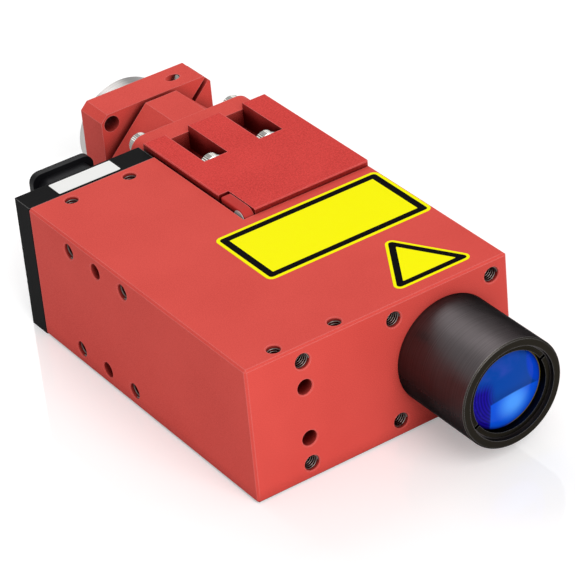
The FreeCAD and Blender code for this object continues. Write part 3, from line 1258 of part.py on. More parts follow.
def build_end_stops():
    """Rubber end stops on the chamber floor, in front of and behind the carriage."""
    stops = []
    for number, end in enumerate((-1, 1), start=1):
        y = f"carriage_rest + {end} * (carriage_length / 2 + travel + bumper_clear + bumper_radius)"
        stops.append(primitive("Cylinder", f"bumper_{number}",
                               {"Radius": "bumper_radius", "Height": f"{BASE_TOP} - {FLOOR}"},
                               ("0", y, FLOOR)))
    compound("end_stops", stops)


BUILDERS = [
    build_housing, build_cover_block, build_cover_gasket, build_lever, build_lever_pin,
    build_cover_screws, build_end_plate, build_end_plate_screws, build_connector_shroud,
    build_connector, build_objective_tube, build_objective, build_tube_seal, build_input_flange,
    build_window, build_flange_screws, build_clamp_plate, build_collimator, build_rails, build_carriage,
    build_voice_coil, build_board, build_encoder, build_end_stops,
]


def check_document():
    """Stop if any object of the document failed, or if any sub-part has no sound shape."""
    for item in document.Objects:
        if {"Invalid", "Error"} & set(item.State):
            raise RuntimeError(f"{item.Name} is not sound: {item.State}")
    for node in NODES:
        if node.Shape.isNull() or not node.Shape.isValid() or not node.Shape.Solids:
            raise RuntimeError(f"{node.Label} has no sound shape")


def write_parts():
    os.makedirs("parts", exist_ok=True)
    for node in NODES:
        node.Shape.exportStep(f"parts/{node.Label}.step")
        print(f"{node.Label}: {len(node.Shape.Solids)} solid(s), {node.Shape.Volume / 1000:.3f} cm3")


for build in BUILDERS:
    build()
document.recompute()
check_document()
write_parts()
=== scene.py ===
"""Laser processing head: materials, fasteners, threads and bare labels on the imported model.

Metres, +Z up. The optical axis runs along Y and leaves the housing's front face at the origin.
"""

import math

import bmesh
import bpy
from bpy.props import FloatProperty, FloatVectorProperty, IntProperty, PointerProperty
from mathutils import Matrix, Vector


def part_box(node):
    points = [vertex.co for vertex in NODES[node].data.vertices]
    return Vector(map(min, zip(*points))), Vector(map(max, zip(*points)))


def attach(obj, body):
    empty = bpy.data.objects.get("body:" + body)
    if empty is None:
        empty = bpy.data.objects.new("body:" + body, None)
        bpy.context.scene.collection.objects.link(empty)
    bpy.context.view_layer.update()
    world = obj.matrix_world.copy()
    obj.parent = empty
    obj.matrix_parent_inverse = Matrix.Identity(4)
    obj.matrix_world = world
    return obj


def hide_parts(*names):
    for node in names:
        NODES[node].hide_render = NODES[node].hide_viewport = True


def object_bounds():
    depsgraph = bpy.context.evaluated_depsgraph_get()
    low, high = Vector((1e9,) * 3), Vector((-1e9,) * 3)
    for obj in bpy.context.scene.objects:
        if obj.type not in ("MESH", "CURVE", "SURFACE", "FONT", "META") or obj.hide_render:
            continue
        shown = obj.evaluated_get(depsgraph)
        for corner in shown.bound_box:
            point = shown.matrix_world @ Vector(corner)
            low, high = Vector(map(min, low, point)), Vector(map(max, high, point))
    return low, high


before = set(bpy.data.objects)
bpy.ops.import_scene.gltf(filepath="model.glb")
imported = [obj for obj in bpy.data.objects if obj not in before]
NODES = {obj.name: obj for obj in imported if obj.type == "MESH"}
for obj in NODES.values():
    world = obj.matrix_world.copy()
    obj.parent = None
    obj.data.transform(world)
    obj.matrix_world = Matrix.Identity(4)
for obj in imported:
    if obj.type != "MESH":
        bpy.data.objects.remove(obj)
CAD_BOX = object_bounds()

bl_info = {
    "name": "Laser processing head",
    "version": (1, 0, 0),
    "blender": (4, 5, 0),
    "location": "3D View > Sidebar > Laser head",
    "description": "Dresses the packed laser head: finishes, screws, threads, labels and stage",
    "category": "Object",
}

MM = 0.001
HOUSING_TOP = 27.25 * MM    # above the optical axis

# Camera, as solved from the housing's corners in the photograph
CAMERA_PLACE = Vector((-522.848, -746.648, 610.378)) * MM
CAMERA_AZIMUTH, CAMERA_HEIGHT, CAMERA_ROLL = -31.687, 32.486, -5.619    # degrees
FOCAL_LENGTH = 197.36    # mm
SENSOR_WIDTH = 36.0    # mm

# Soft lamps: name, place and side in metres, power in watts
LAMPS = (
    ("key", (-0.1, -1.7, 1.5), 1.5, 29.0),
    ("fill", (-0.75, -0.95, 0.55), 0.9, 2.0),
    ("rim", (0.2, 1.25, 1.15), 1.0, 6.5),
)
LAMP_TARGET = Vector((-0.02, 0.07, 0.0))
ROUND_LIGHT = 0.46    # light from all round on the object, where 1 is the white that is seen
FLOOR_GLOW = 0.25

# Screws in mm: head radius, head height, shank radius, shank length, key radius
COVER_SCREW = (4.25, 5.0, 2.45, 52.0, 2.3)
FLANGE_SCREW = (4.25, 5.0, 2.45, 21.5, 2.3)
PLATE_SCREW = (2.75, 3.0, 1.45, 15.5, 1.45)
CLAMP_SCREW = (3.5, 4.0, 1.95, 10.0, 1.75)
BOARD_SCREW = (2.2, 1.4, 1.2, 4.4, 0.85)

# Threads in mm: hole radius, depth
LARGE_THREAD = (3.0, 10.0)
SMALL_THREAD = (2.5, 7.5)

# Tapped holes in mm from the front end of the optical axis
FRONT_HOLES_ACROSS = (-21, 21, -59)
LEFT_HOLES_ALONG = (78, 114)
HOLE_ROWS_ABOVE = (-21, 21)
TOP_HOLES_ACROSS = (-67, -42)
TOP_HOLES_ALONG = (5, 135)

# Seats of screw heads in mm, across, along and above the optical axis
COVER_SEAT = (12.3, 122.7, 24.25)    # and its like on the left
FLANGE_SEAT = (21, 158.7, 21)    # one of four corners
CLAMP_SEAT = (20.86, 190.5, 16.62)

# Ground of a label and the print on it, as places in its list of materials
FILM, PRINT = 0, 1

# Labels in mm: name, corners, radius of a corner, and bands by their insets from the edge
LABELS = (
    ("yellow_label", ((-43.9, 40.6), (26.9, 40.6), (26.9, 76.0), (-43.9, 76.0)), 2.6,
     ((0, FILM), (1.3, PRINT), (4.1, FILM))),
    ("triangle_label", ((-15.9, 5.8), (19.2, 5.6), (1.6, 36.2)), 2.4,
     ((0, FILM), (1.1, PRINT), (3.6, FILM))),
    ("white_label", ((-68.2, 141.4), (-41.7, 141.4), (-41.7, 149.4), (-68.2, 149.4)), 0.4,
     ((0, FILM),)),
)


def linear(code):
    """Turn an sRGB hex code into a linear colour."""
    channels = [int(code[i:i + 2], 16) / 255 for i in (1, 3, 5)]
    return tuple(c / 12.92 if c <= 0.04045 else ((c + 0.055) / 1.055) ** 2.4 for c in channels)


def rgba(colour):
    return (*colour[:3], 1.0)


def centre(node):
    low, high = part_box(node)
    return (low + high) / 2


# Node trees

def socket(sockets, key):
    """Find a socket by its place, its identifier or its name."""
    if isinstance(key, int):
        return sockets[key]
    for item in sockets:
        if item.identifier == key:
            return item
    return sockets[key]


def add(tree, kind, inputs=None, output=None, **settings):
    """Add a node with its settings, values and links, and return it, or the output that is named.

    A list of sockets goes to an input that takes several.
    """
    node = tree.nodes.new(kind)
    for name, value in settings.items():
        setattr(node, name, value)
    for key, value in (inputs or {}).items():
        target = socket(node.inputs, key)
        sources = value if isinstance(value, list) else [value]
        if isinstance(sources[0], bpy.types.NodeSocket):
            for source in sources:
                tree.links.new(source, target)
        else:
            target.default_value = value
    return node if output is None else socket(node.outputs, output)


def start_material(name, *patterns, about=None):
    """Start a material, with its coordinates and its uneven patterns.

    Each pattern is given as its size in millimetres, its detail and its roughness.
    """
    material = bpy.data.materials.new(name)
    material.use_nodes = True
    tree = material.node_tree
    tree.nodes.clear()
    place = add(tree, "ShaderNodeTexCoord", output="Object")
    if about is not None:
        place = add(tree, "ShaderNodeMapping", {"Vector": place, "Location": [-v for v in about]}, "Vector")
    uneven = [add(tree, "ShaderNodeTexNoise", {"Vector": place, "Scale": 1 / (size_mm * MM),
                                               "Detail": detail, "Roughness": roughness}, "Fac")
              for size_mm, detail, roughness in patterns]
    return material, tree, place, *uneven


def end_material(tree, inputs, pattern, roughness, relief=None, ends=(0.3, 0.7)):
    """End a material with its shader, whose roughness follows a pattern between the pattern's ends.

    A relief is given as its height, its depth in millimetres and its strength.
    """
    rough = add(tree, "ShaderNodeMapRange", {"Value": pattern, "From Min": ends[0], "From Max": ends[1],
                                             "To Min": roughness[0], "To Max": roughness[1]}, "Result")
    finish = {"Roughness": rough, **inputs}
    if relief:
        height, depth_mm, strength = relief
        finish["Normal"] = add(tree, "ShaderNodeBump", {"Height": height, "Distance": depth_mm * MM,
                                                        "Strength": strength}, "Normal")
    shader = add(tree, "ShaderNodeBsdfPrincipled", finish, "BSDF")
    add(tree, "ShaderNodeOutputMaterial", {"Surface": shader})


def graded(tree, value, low, high, first, second, share=1.0):
    """Colour that goes from the first to a share of the second as a value goes from low to high."""
    factor = add(tree, "ShaderNodeMapRange", {"Value": value, "From Min": low, "From Max": high,
                                              "To Max": share}, "Result")
    return add(tree, "ShaderNodeMix", {"Factor_Float": factor, "A_Color": first, "B_Color": second},
               "Result_Color", data_type="RGBA")


def within(tree, *limits):
    """1 where every value is past its limit, else 0, with a smooth step between two ends in mm."""
    inside = 1.0
    for value, out_mm, in_mm in limits:
        step = add(tree, "ShaderNodeMapRange", {"Value": value, "From Min": out_mm * MM,
                                                "From Max": in_mm * MM}, "Result",
                   interpolation_type="SMOOTHSTEP")
        inside = add(tree, "ShaderNodeMath", {0: inside, 1: step}, "Value", operation="MULTIPLY")
    return inside


def round_the_axis(tree, place):
    """Places across, along and above the optical axis, the place across it, and the distance from it."""
    parts = add(tree, "ShaderNodeSeparateXYZ", {"Vector": place}).outputs
    flat = add(tree, "ShaderNodeCombineXYZ", {"X": parts["X"], "Z": parts["Z"]}, "Vector")
    radius = add(tree, "ShaderNodeVectorMath", {0: flat}, "Value", operation="LENGTH")
    return parts["X"], parts["Y"], parts["Z"], flat, radius


def shown_rays(tree):
    """1 for what the camera, a mirror or glass sees, 0 for the light that falls on the object."""
    path = add(tree, "ShaderNodeLightPath").outputs
    mirrored = add(tree, "ShaderNodeMath", {0: path["Is Glossy Ray"], 1: path["Is Transmission Ray"]},
                   "Value", operation="MAXIMUM")
    return add(tree, "ShaderNodeMath", {0: path["Is Camera Ray"], 1: mirrored}, "Value",
               operation="MAXIMUM")


def painted_shade_and_highlight(tree, base, painted_shade, edge, reach_mm=12.0, shut_at=0.25, open_at=0.58):
    """Paint shade into a colour in holes, slits and joints between parts, and a highlight along free edges.

    How free a place lies goes from 0 deep in a hole to 1 on an open face; the less free, the darker the
    painted shade. An edge is where the surface's normal, rounded over 0.45 mm, leaves that of the face;
    there the colour is paled as a painted highlight.
    """
    # Painted shade: ambient occlusion darkens holes, slits and joints between parts.
    free = add(tree, "ShaderNodeAmbientOcclusion", {"Distance": reach_mm * MM}, "AO", samples=6)
    shaded = graded(tree, free, shut_at, open_at, rgba(painted_shade), base)
    # Painted highlight: where the rounded normal leaves the face's, the edge is paled as if a chamfer
    # caught the light.
    smooth = add(tree, "ShaderNodeBevel", {"Radius": 0.45 * MM}, "Normal", samples=4)
    face = add(tree, "ShaderNodeNewGeometry", output="Normal")
    likeness = add(tree, "ShaderNodeVectorMath", {0: smooth, 1: face}, "Value", operation="DOT_PRODUCT")
    # The painted edge highlight is stronger on open faces than near holes.
    bare = add(tree, "ShaderNodeMapRange", {"Value": free, "From Min": 0.5, "From Max": 0.8,
                                            "To Max": 0.8}, "Result")
    return graded(tree, likeness, 0.985, 0.88, shaded, rgba(edge), bare)


# Materials

def blasted_aluminium(name, light, dark, grain_mm, depth_mm, gloss=0.05, rough=0.55, shut_at=0.25,
                      open_at=0.58):
    """Bead-blasted, anodised aluminium: fine grain that breaks up the light, and no clear reflection.

    The blast pits are about 0.1 mm. They are drawn three to five times as coarse, to show at all.
    Holes, slits and joints between parts are darkened as painted shade, and the edges are paled as a
    painted highlight.
    """
    material, tree, _, grain, cloud = start_material(name, (grain_mm, 3.0, 0.6), (30.0, 2.0, 0.5))
    base = graded(tree, grain, 0.32, 0.68, rgba(dark), rgba(light))
    worn = [min(1.0, c * 1.10 + 0.004) for c in light]
    tinted = graded(tree, cloud, 0.35, 0.75, base, rgba(worn), 0.35)
    # Painted shade colour: a deep, saturated red for holes and joints.
    painted_shade = (dark[0] * 0.13, dark[1] * 0.02, dark[2] * 0.02)
    # Painted highlight colour of the edges.
    edge = [c * 0.8 + 0.2 for c in light]
    colour = painted_shade_and_highlight(tree, tinted, painted_shade, edge, shut_at=shut_at, open_at=open_at)
    end_material(tree, {"Base Color": colour, "Specular IOR Level": gloss}, grain,
                 (rough + 0.06, rough - 0.06), (grain, depth_mm, 1.0))
    return material


def turned_metal(name, light, dark, pitch_mm, depth_mm, rough, painted_reflection_lobes=0.0, edge_tint=1.0, painted_front_shade=None):
    """Metal turned on a lathe: close rings round the axis that stretch each highlight across them.

    A finishing cut leaves rings about 0.1 mm apart. They are drawn wider, to show in the picture.
    A bright part is given two dark and two light lobes round its axis in its colour, a painted reflection
    of its stretched highlights. A front end face is painted darker as painted shade, in the colour given
    for it.
    """
    material, tree, place, cloud = start_material(name, (12.0, 2.0, 0.55))
    across, along, up, _, radius = round_the_axis(tree, place)
    wander = add(tree, "ShaderNodeMath", {0: radius, 1: along}, "Value", operation="ADD")
    rings = add(tree, "ShaderNodeTexNoise", {"W": wander, "Scale": 1 / (pitch_mm * MM), "Detail": 1.0},
                "Fac", noise_dimensions="1D")
    base = graded(tree, rings, 0.25, 0.75, rgba(dark), rgba(light))
    # Painted reflection: two dark and two light lobes by the angle round the axis.
    if painted_reflection_lobes:
        angle = add(tree, "ShaderNodeMath", {0: up, 1: across}, "Value", operation="ARCTAN2")
        double = add(tree, "ShaderNodeMath", {0: angle, 1: 2.0, 2: -1.1}, "Value",
                     operation="MULTIPLY_ADD")
        wave = add(tree, "ShaderNodeMath", {0: double}, "Value", operation="SINE")
        base = graded(tree, wave, -0.2, 1.0, base, rgba([c * 0.22 for c in dark]), painted_reflection_lobes)
    # Painted shade on the front end face.
    if painted_front_shade:
        front_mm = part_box("objective_tube")[0].y / MM
        end = within(tree, (along, front_mm + 0.8, front_mm + 0.2))
        base = graded(tree, end, 0.0, 1.0, base, rgba(painted_front_shade))
    # Painted shade colour for holes and joints, and painted highlight colour for the edges.
    painted_shade = [c * 0.2 for c in dark]
    edge = [c * 0.7 + 0.12 for c in light]
    end_material(tree, {
        "Base Color": painted_shade_and_highlight(tree, base, painted_shade, edge, reach_mm=3.0),
        "Metallic": 1.0,
        "Specular Tint": (edge_tint, edge_tint, edge_tint, 1.0),
    }, cloud, (rough - 0.04, rough + 0.05), (rings, depth_mm, 1.0))
    return material


def machined_metal(name, colour, rough, painted_shade_factor=0.08, metallic=1.0):
    """Machined or plated metal of small parts: bright, faint tool marks, painted shade in the joints."""
    material, tree, _, marks, broad = start_material(name, (0.5, 4.0, 0.7), (4.0, 2.0, 0.55))
    dull = [c * 0.82 for c in colour]
    base = graded(tree, broad, 0.3, 0.7, rgba(dull), rgba(colour))
    # Painted shade colour for holes and joints, and the full colour as a painted highlight along edges.
    painted_shade_colour = [c * painted_shade_factor for c in colour]
    end_material(tree, {
        "Base Color": painted_shade_and_highlight(tree, base, painted_shade_colour, colour, reach_mm=2.0, open_at=0.7),
        "Metallic": metallic,
    }, marks, (rough - 0.05, rough + 0.08), (marks, 0.01, 0.6))
    return material


def moulded_plastic(name, colour, grain_mm=0.4, rough=0.5):
    """Glass-filled nylon from an eroded mould: an even, fine leathery grain and a dull sheen."""
    material, tree, _, grain, cloud = start_material(name, (grain_mm, 3.0, 0.55), (15.0, 2.0, 0.55))
    pale = [c * 1.5 + 0.004 for c in colour]
    end_material(tree, {
        "Base Color": graded(tree, cloud, 0.3, 0.7, rgba(colour), rgba(pale)),
        "Specular IOR Level": 0.12,
        "IOR": 1.5,
    }, grain, (rough - 0.06, rough + 0.08), (grain, 0.03, 0.8))
    return material


def soft_rubber(name, colour):
    """Moulded nitrile rubber: nearly black, with a soft broad sheen and faint bloom."""
    material, tree, _, bloom, skin = start_material(name, (6.0, 4.0, 0.55), (0.4, 2.0, 0.55))
    pale = [c * 2.0 + 0.006 for c in colour]
    end_material(tree, {"Base Color": graded(tree, bloom, 0.4, 0.75, rgba(colour), rgba(pale))}, bloom,
                 (0.6, 0.75), (skin, 0.02, 0.6))
    return material


def coated_front_lens_painted_reflections(name, middle, rim, pale):
    """Polished lens with a blue coating against reflection.

    The coating sends back blue only. What it would reflect is painted into the lens's colour: round
    fields of paler and deeper blue, as its two faces would bend them, as painted reflections, fine violet
    rings near the rim, painted shade at the rim with an ochre painted highlight on it, and the part below
    the middle painted darker. The fields' centres, radii and limits are in millimetres on the lens.
    """
    material, tree, place, mottle, dust = start_material(name, (5.0, 2.0, 0.55), (3.0, 3.0, 0.55))
    across, _, up, flat, radius = round_the_axis(tree, place)
    # Distances to the middles of painted reflection fields: a bright patch, a haze, a low field and a glow
    # in it.
    bright, hazy, window, glow = (
        add(tree, "ShaderNodeVectorMath", {0: flat, 1: (x_mm * MM, 0, z_mm * MM)}, "Value",
            operation="DISTANCE")
        for x_mm, z_mm in ((21.0, 6.0), (-3.0, 32.0), (4.0, -47.0), (2.5, -6.0)))
    # How much of the painted haze shows, in a mottled way.
    painted_haze_share = add(tree, "ShaderNodeMapRange", {"Value": mottle, "From Min": 0.3, "From Max": 0.7,
                                                  "To Max": 0.36}, "Result")
    # Painted reflection of fine rings near the rim.
    turns = add(tree, "ShaderNodeMath", {0: radius, 1: 2 * math.pi / (1.1 * MM)}, "Value",
                operation="MULTIPLY")
    ring = add(tree, "ShaderNodeMath", {0: turns}, "Value", operation="SINE")
    violet = graded(tree, ring, -1.0, 1.0, rgba([c * 0.5 for c in rim]), rgba(rim))
    # Painted reflection: a pale field low in the lens, brightest at its glow.
    painted_sky_reflection = graded(tree, within(tree, (glow, 9.0, 1.0)), 0.0, 1.0, rgba(linear("#0B52DC")), rgba(pale))
    # Painted shade: darker below the middle.
    field = graded(tree, within(tree, (up, -4.0, 2.0)), 0.0, 1.0, rgba([c * 0.7 for c in middle]),
                   rgba(middle))
    # Painted reflections and painted shade laid on in turn: bright patch, haze, violet rings on the left,
    # the low field, shade at the rim and an ochre highlight on the rim.
    for limits, share, colour in (
            ([(bright, 12.5, 11.0)], 1.0, rgba(linear("#063FC4"))),
            ([(hazy, 27.0, 24.5), (across, 7.2, 6.2)], painted_haze_share, rgba(linear("#3D4BB4"))),
            ([(across, -4.0, -9.0), (up, 8.0, 2.0)], 1.0, violet),
            ([(window, 45.4, 44.7), (across, -7.4, -6.9)], 1.0, painted_sky_reflection),
            ([(radius, 14.2, 15.6)], 0.75, rgba([c * 0.25 for c in rim])),
            ([(radius, 14.9, 15.2), (across, -2.0, 6.0)], 1.0, rgba(linear("#7C6C2E")))):
        field = graded(tree, within(tree, *limits), 0.0, 1.0, field, colour, share)
    end_material(tree, {
        "Base Color": field,
        "IOR": 1.52,
        "Specular IOR Level": 0.07,
        "Specular Tint": rgba(linear("#0A4BFF")),
    }, dust, (0.02, 0.06), ends=(0.35, 0.8))
    return material


def coated_glass(name, centre_colour, rim_colour, radius_mm, clear):
    """Polished lens with a coating against reflection: tinted in the middle, stronger at the rim."""
    material, tree, place, dust = start_material(name, (3.0, 3.0, 0.55))
    *_, radius = round_the_axis(tree, place)
    rim = within(tree, (radius, radius_mm * 0.45, radius_mm))
    end_material(tree, {
        "Base Color": graded(tree, rim, 0.0, 1.0, rgba(centre_colour), rgba(rim_colour)),
        "Transmission Weight": clear,
        "IOR": 1.52,
        "Specular Tint": rgba(linear("#8FA8FF")),
    }, dust, (0.0, 0.04), ends=(0.35, 0.8))
    return material


def printed_film(name, colour, gloss=0.02, rough=0.38):
    """Printed polyester film of a label: even colour, a slight gloss and a faint orange-peel."""
    material, tree, _, peel = start_material(name, (2.5, 2.0, 0.55))
    pale = [min(1.0, c * 1.03) for c in colour]
    end_material(tree, {
        "Base Color": graded(tree, peel, 0.0, 1.0, rgba(colour), rgba(pale)),
        "Specular IOR Level": gloss,
    }, peel, (rough - 0.05, rough + 0.05), (peel, 0.01, 0.4))
    return material


def enamelled_wire(name, about):
    """Copper wire wound side by side on its former, each turn 0.4 mm wide, under clear enamel."""
    material, tree, place, enamel = start_material(name, (2.0, 2.0, 0.55), about=about)
    along = add(tree, "ShaderNodeSeparateXYZ", {"Vector": place}, "Y")
    wave = add(tree, "ShaderNodeMath", {0: along, 1: 2 * math.pi / (0.4 * MM)}, "Value",
               operation="MULTIPLY")
    turns = add(tree, "ShaderNodeMath", {0: wave}, "Value", operation="SINE")
    # Painted highlight on the crown of each turn and painted shade between turns.
    crown = add(tree, "ShaderNodeMapRange", {"Value": turns, "From Min": -1.0}, "Result")
    end_material(tree, {
        "Base Color": graded(tree, crown, 0.0, 1.0, rgba(linear("#6B2A12")), rgba(linear("#C8703A"))),
        "Metallic": 0.9,
    }, enamel, (0.25, 0.4), (crown, 0.12, 1.0))
    return material


def solder_mask(name):
    """Circuit board under green solder mask: copper tracks show as slightly paler bands."""
    material, tree, place, gloss = start_material(name, (5.0, 2.0, 0.55))
    cells = add(tree, "ShaderNodeTexVoronoi", {"Vector": place, "Scale": 1 / (2.4 * MM)}, "Distance",
                distance="MANHATTAN")
    gaps = add(tree, "ShaderNodeMapRange", {"Value": cells, "From Min": 0.25, "From Max": 0.32},
               "Result")
    end_material(tree, {
        "Base Color": graded(tree, gaps, 0.0, 1.0, rgba(linear("#0E5A34")), rgba(linear("#0A3F27"))),
    }, gloss, (0.28, 0.4), (gaps, 0.03, 0.6))
    return material


def acrylic_sheet(name):
    """White acrylic sheet of the floor: nearly white, with a weak reflection of what stands on it."""
    material, tree, _, haze = start_material(name, (400.0, 2.0, 0.55))
    rough = add(tree, "ShaderNodeMapRange", {"Value": haze, "To Min": 0.03, "To Max": 0.07}, "Result")
    sheet = add(tree, "ShaderNodeBsdfPrincipled", {"Base Color": rgba(linear("#F6F6F6")), "IOR": 1.45,
                                                   "Roughness": rough}, "BSDF")
    glow = add(tree, "ShaderNodeEmission", {"Color": (1, 1, 1, 1), "Strength": FLOOR_GLOW}, "Emission")
    lit = add(tree, "ShaderNodeAddShader", {0: sheet, 1: glow}, "Shader")
    surface = add(tree, "ShaderNodeMixShader", {0: shown_rays(tree), 1: sheet, 2: lit}, "Shader")
    add(tree, "ShaderNodeOutputMaterial", {"Surface": surface})
    return material


# Properties

class HeadColours(bpy.types.PropertyGroup):
    """Colours of the outside finishes."""
    red: FloatVectorProperty(
        name="Red anodising", description="Dye of the housing, flange and clamp plate",
        subtype="COLOR", size=3, min=0, max=1, default=linear("#DF554C"))
    red_dark: FloatVectorProperty(
        name="Red anodising, pits", description="Darker red in the pits of the blasted surface",
        subtype="COLOR", size=3, min=0, max=1, default=linear("#CF463F"))
    black: FloatVectorProperty(
        name="Black anodising", description="Dye of the end plate",
        subtype="COLOR", size=3, min=0, max=1, default=linear("#070708"))
    tube: FloatVectorProperty(
        name="Tube black", description="Warm black of the objective tube",
        subtype="COLOR", size=3, min=0, max=1, default=linear("#565152"))
    lens_centre: FloatVectorProperty(
        name="Lens coating", description="Colour that the coating shows in the middle of the lens",
        subtype="COLOR", size=3, min=0, max=1, default=linear("#08439F"))
    lens_rim: FloatVectorProperty(
        name="Lens rim", description="Violet that the coating shows near the rim",
        subtype="COLOR", size=3, min=0, max=1, default=linear("#1C0E9C"))
    # Painted reflection: paler blue painted where a bright surface would reflect in the lens.
    lens_painted_reflection: FloatVectorProperty(
        name="Lens, bright field", description="Paler blue where the coating shows a bright surface",
        subtype="COLOR", size=3, min=0, max=1, default=linear("#4A9CFF"))
    label_yellow: FloatVectorProperty(
        name="Label yellow", description="Ground of the two bare labels",
        subtype="COLOR", size=3, min=0, max=1, default=linear("#FFF800"))
    label_white: FloatVectorProperty(
        name="Label white", description="Ground of the small bare label",
        subtype="COLOR", size=3, min=0, max=1, default=linear("#F2F2F0"))


class HeadSizes(bpy.types.PropertyGroup):
    """Sizes of the details that the solids leave plain."""
    thread_pitch: FloatProperty(
        name="Thread pitch", description="Pitch of the threads in the housing",
        default=1.0 * MM, min=0.3 * MM, max=3 * MM, unit="LENGTH")
    thread_ridge: FloatProperty(
        name="Thread ridge", description="Height of the thread inside its hole",
        default=0.45 * MM, min=0.1 * MM, max=1 * MM, unit="LENGTH")
    knurl_depth: FloatProperty(
        name="Knurl depth", description="Depth of the knurling round a cap head",
        default=0.18 * MM, min=0, max=0.5 * MM, unit="LENGTH")
    knurls: IntProperty(
        name="Knurls", description="Ridges round a cap head", default=34, min=8, max=80)
    label_thickness: FloatProperty(
        name="Label thickness", description="Film and glue of a label",
        default=0.12 * MM, min=0.02 * MM, max=1 * MM, unit="LENGTH")
    floor_size: FloatProperty(
        name="Floor", description="Side of the floor", default=8.0, min=1.0, max=50.0, unit="LENGTH")


# Meshes

def give(mesh_object, body, replaces=()):
    """Let a finished piece ride on its body, and hide the parts that it stands for."""
    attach(mesh_object, body)
    if replaces:
        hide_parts(*replaces)
    return mesh_object


def link_mesh(name, mesh):
    item = bpy.data.objects.new(name, mesh)
    bpy.context.scene.collection.objects.link(item)
    return item


def mesh_from(name, build, materials):
    """Build a mesh with bmesh, recalculate its normals and link it."""
    work = bmesh.new()
    build(work)
    bmesh.ops.recalc_face_normals(work, faces=work.faces)
    mesh = bpy.data.meshes.new(name)
    work.to_mesh(mesh)
    work.free()
    for material in materials:
        mesh.materials.append(material)
    return link_mesh(name, mesh)


def inset(points, distance):
    """Move each side of a convex outline, given counter-clockwise, inwards by a distance."""
    result = []
    count = len(points)
    for index in range(count):
        before, here, after = points[index - 1], points[index], points[(index + 1) % count]
        first = (here - before).normalized()
        second = (after - here).normalized()
        inner = Vector((-first.y, first.x)) + Vector((-second.y, second.x))
        result.append(here + inner * (distance / (1 + first.dot(second))))
    return result


def rounded(points, radius, steps=8):
    """Round the corners of a convex outline, given counter-clockwise."""
    result = []
    count = len(points)
    for index in range(count):
        before, here, after = points[index - 1], points[index], points[(index + 1) % count]
        first = (here - before).normalized()
        second = (after - here).normalized()
        turn = first.angle(second)
        cut = radius * math.tan(turn / 2)
        start = here - first * cut
        middle = start + Vector((-first.y, first.x)) * radius
        for step in range(steps + 1):
            angle = turn * step / steps
            arm = start - middle
            result.append(middle + Vector((arm.x * math.cos(angle) - arm.y * math.sin(angle),
                                           arm.x * math.sin(angle) + arm.y * math.cos(angle))))
    return result


def label_mesh(name, corners, radius, bands, low, thickness, materials):
    """Flat label: an outline with rounded corners, its top divided into bands by their insets."""
    lines = [rounded(inset(corners, distance) if distance else corners, max(radius - distance, 0.25 * MM))
             for distance, _ in bands]

    def build(work):
        bottom = [work.verts.new((p.x, p.y, low)) for p in lines[0]]
        loops = [[work.verts.new((p.x, p.y, low + thickness)) for p in line] for line in lines]
        count = len(bottom)
        work.faces.new(bottom[::-1])
        for index in range(count):
            following = (index + 1) % count
            work.faces.new((bottom[index], bottom[following], loops[0][following], loops[0][index]))
        for band in range(len(loops) - 1):
            for index in range(count):
                following = (index + 1) % count
                face = work.faces.new((loops[band][index], loops[band][following],
                                       loops[band + 1][following], loops[band + 1][index]))
                face.material_index = bands[band][1]
        face = work.faces.new(loops[-1])
        face.material_index = bands[-1][1]

    return mesh_from(name, build, materials)


# Geometry Nodes

def start_tree(name, sizes):
    """Make a geometry tree with a geometry input, named size inputs and a material input."""
    tree = bpy.data.node_groups.new(name, "GeometryNodeTree")
    tree.interface.new_socket("Geometry", in_out="INPUT", socket_type="NodeSocketGeometry")
    for label, value in sizes.items():
        kind = "NodeSocketInt" if isinstance(value, int) else "NodeSocketFloat"
        tree.interface.new_socket(label, in_out="INPUT", socket_type=kind).default_value = value
    tree.interface.new_socket("Material", in_out="INPUT", socket_type="NodeSocketMaterial")
    tree.interface.new_socket("Geometry", in_out="OUTPUT", socket_type="NodeSocketGeometry")
    return tree, add(tree, "NodeGroupInput").outputs


def place_and_finish(tree, given, piece):
    """Set the piece on every point, along the point's own direction, and end the tree."""
    facing = add(tree, "GeometryNodeInputNamedAttribute", {"Name": "facing"}, data_type="FLOAT_VECTOR")
    turn = add(tree, "FunctionNodeAlignRotationToVector", {"Vector": facing.outputs["Attribute"]},
               "Rotation", axis="Z")
    spread = add(tree, "GeometryNodeInstanceOnPoints", {
        "Points": given["Geometry"], "Instance": piece, "Rotation": turn}, "Instances")
    real = add(tree, "GeometryNodeRealizeInstances", {"Geometry": spread}, "Geometry")
    dressed = add(tree, "GeometryNodeSetMaterial", {"Geometry": real, "Material": given["Material"]},
                  "Geometry")
    add(tree, "NodeGroupOutput", {"Geometry": dressed})


def raised(tree, geometry, height):
    """Move a geometry up by a height."""
    shift = add(tree, "ShaderNodeCombineXYZ", {"Z": height}, "Vector")
    return add(tree, "GeometryNodeTransform", {"Geometry": geometry, "Translation": shift}, "Geometry")


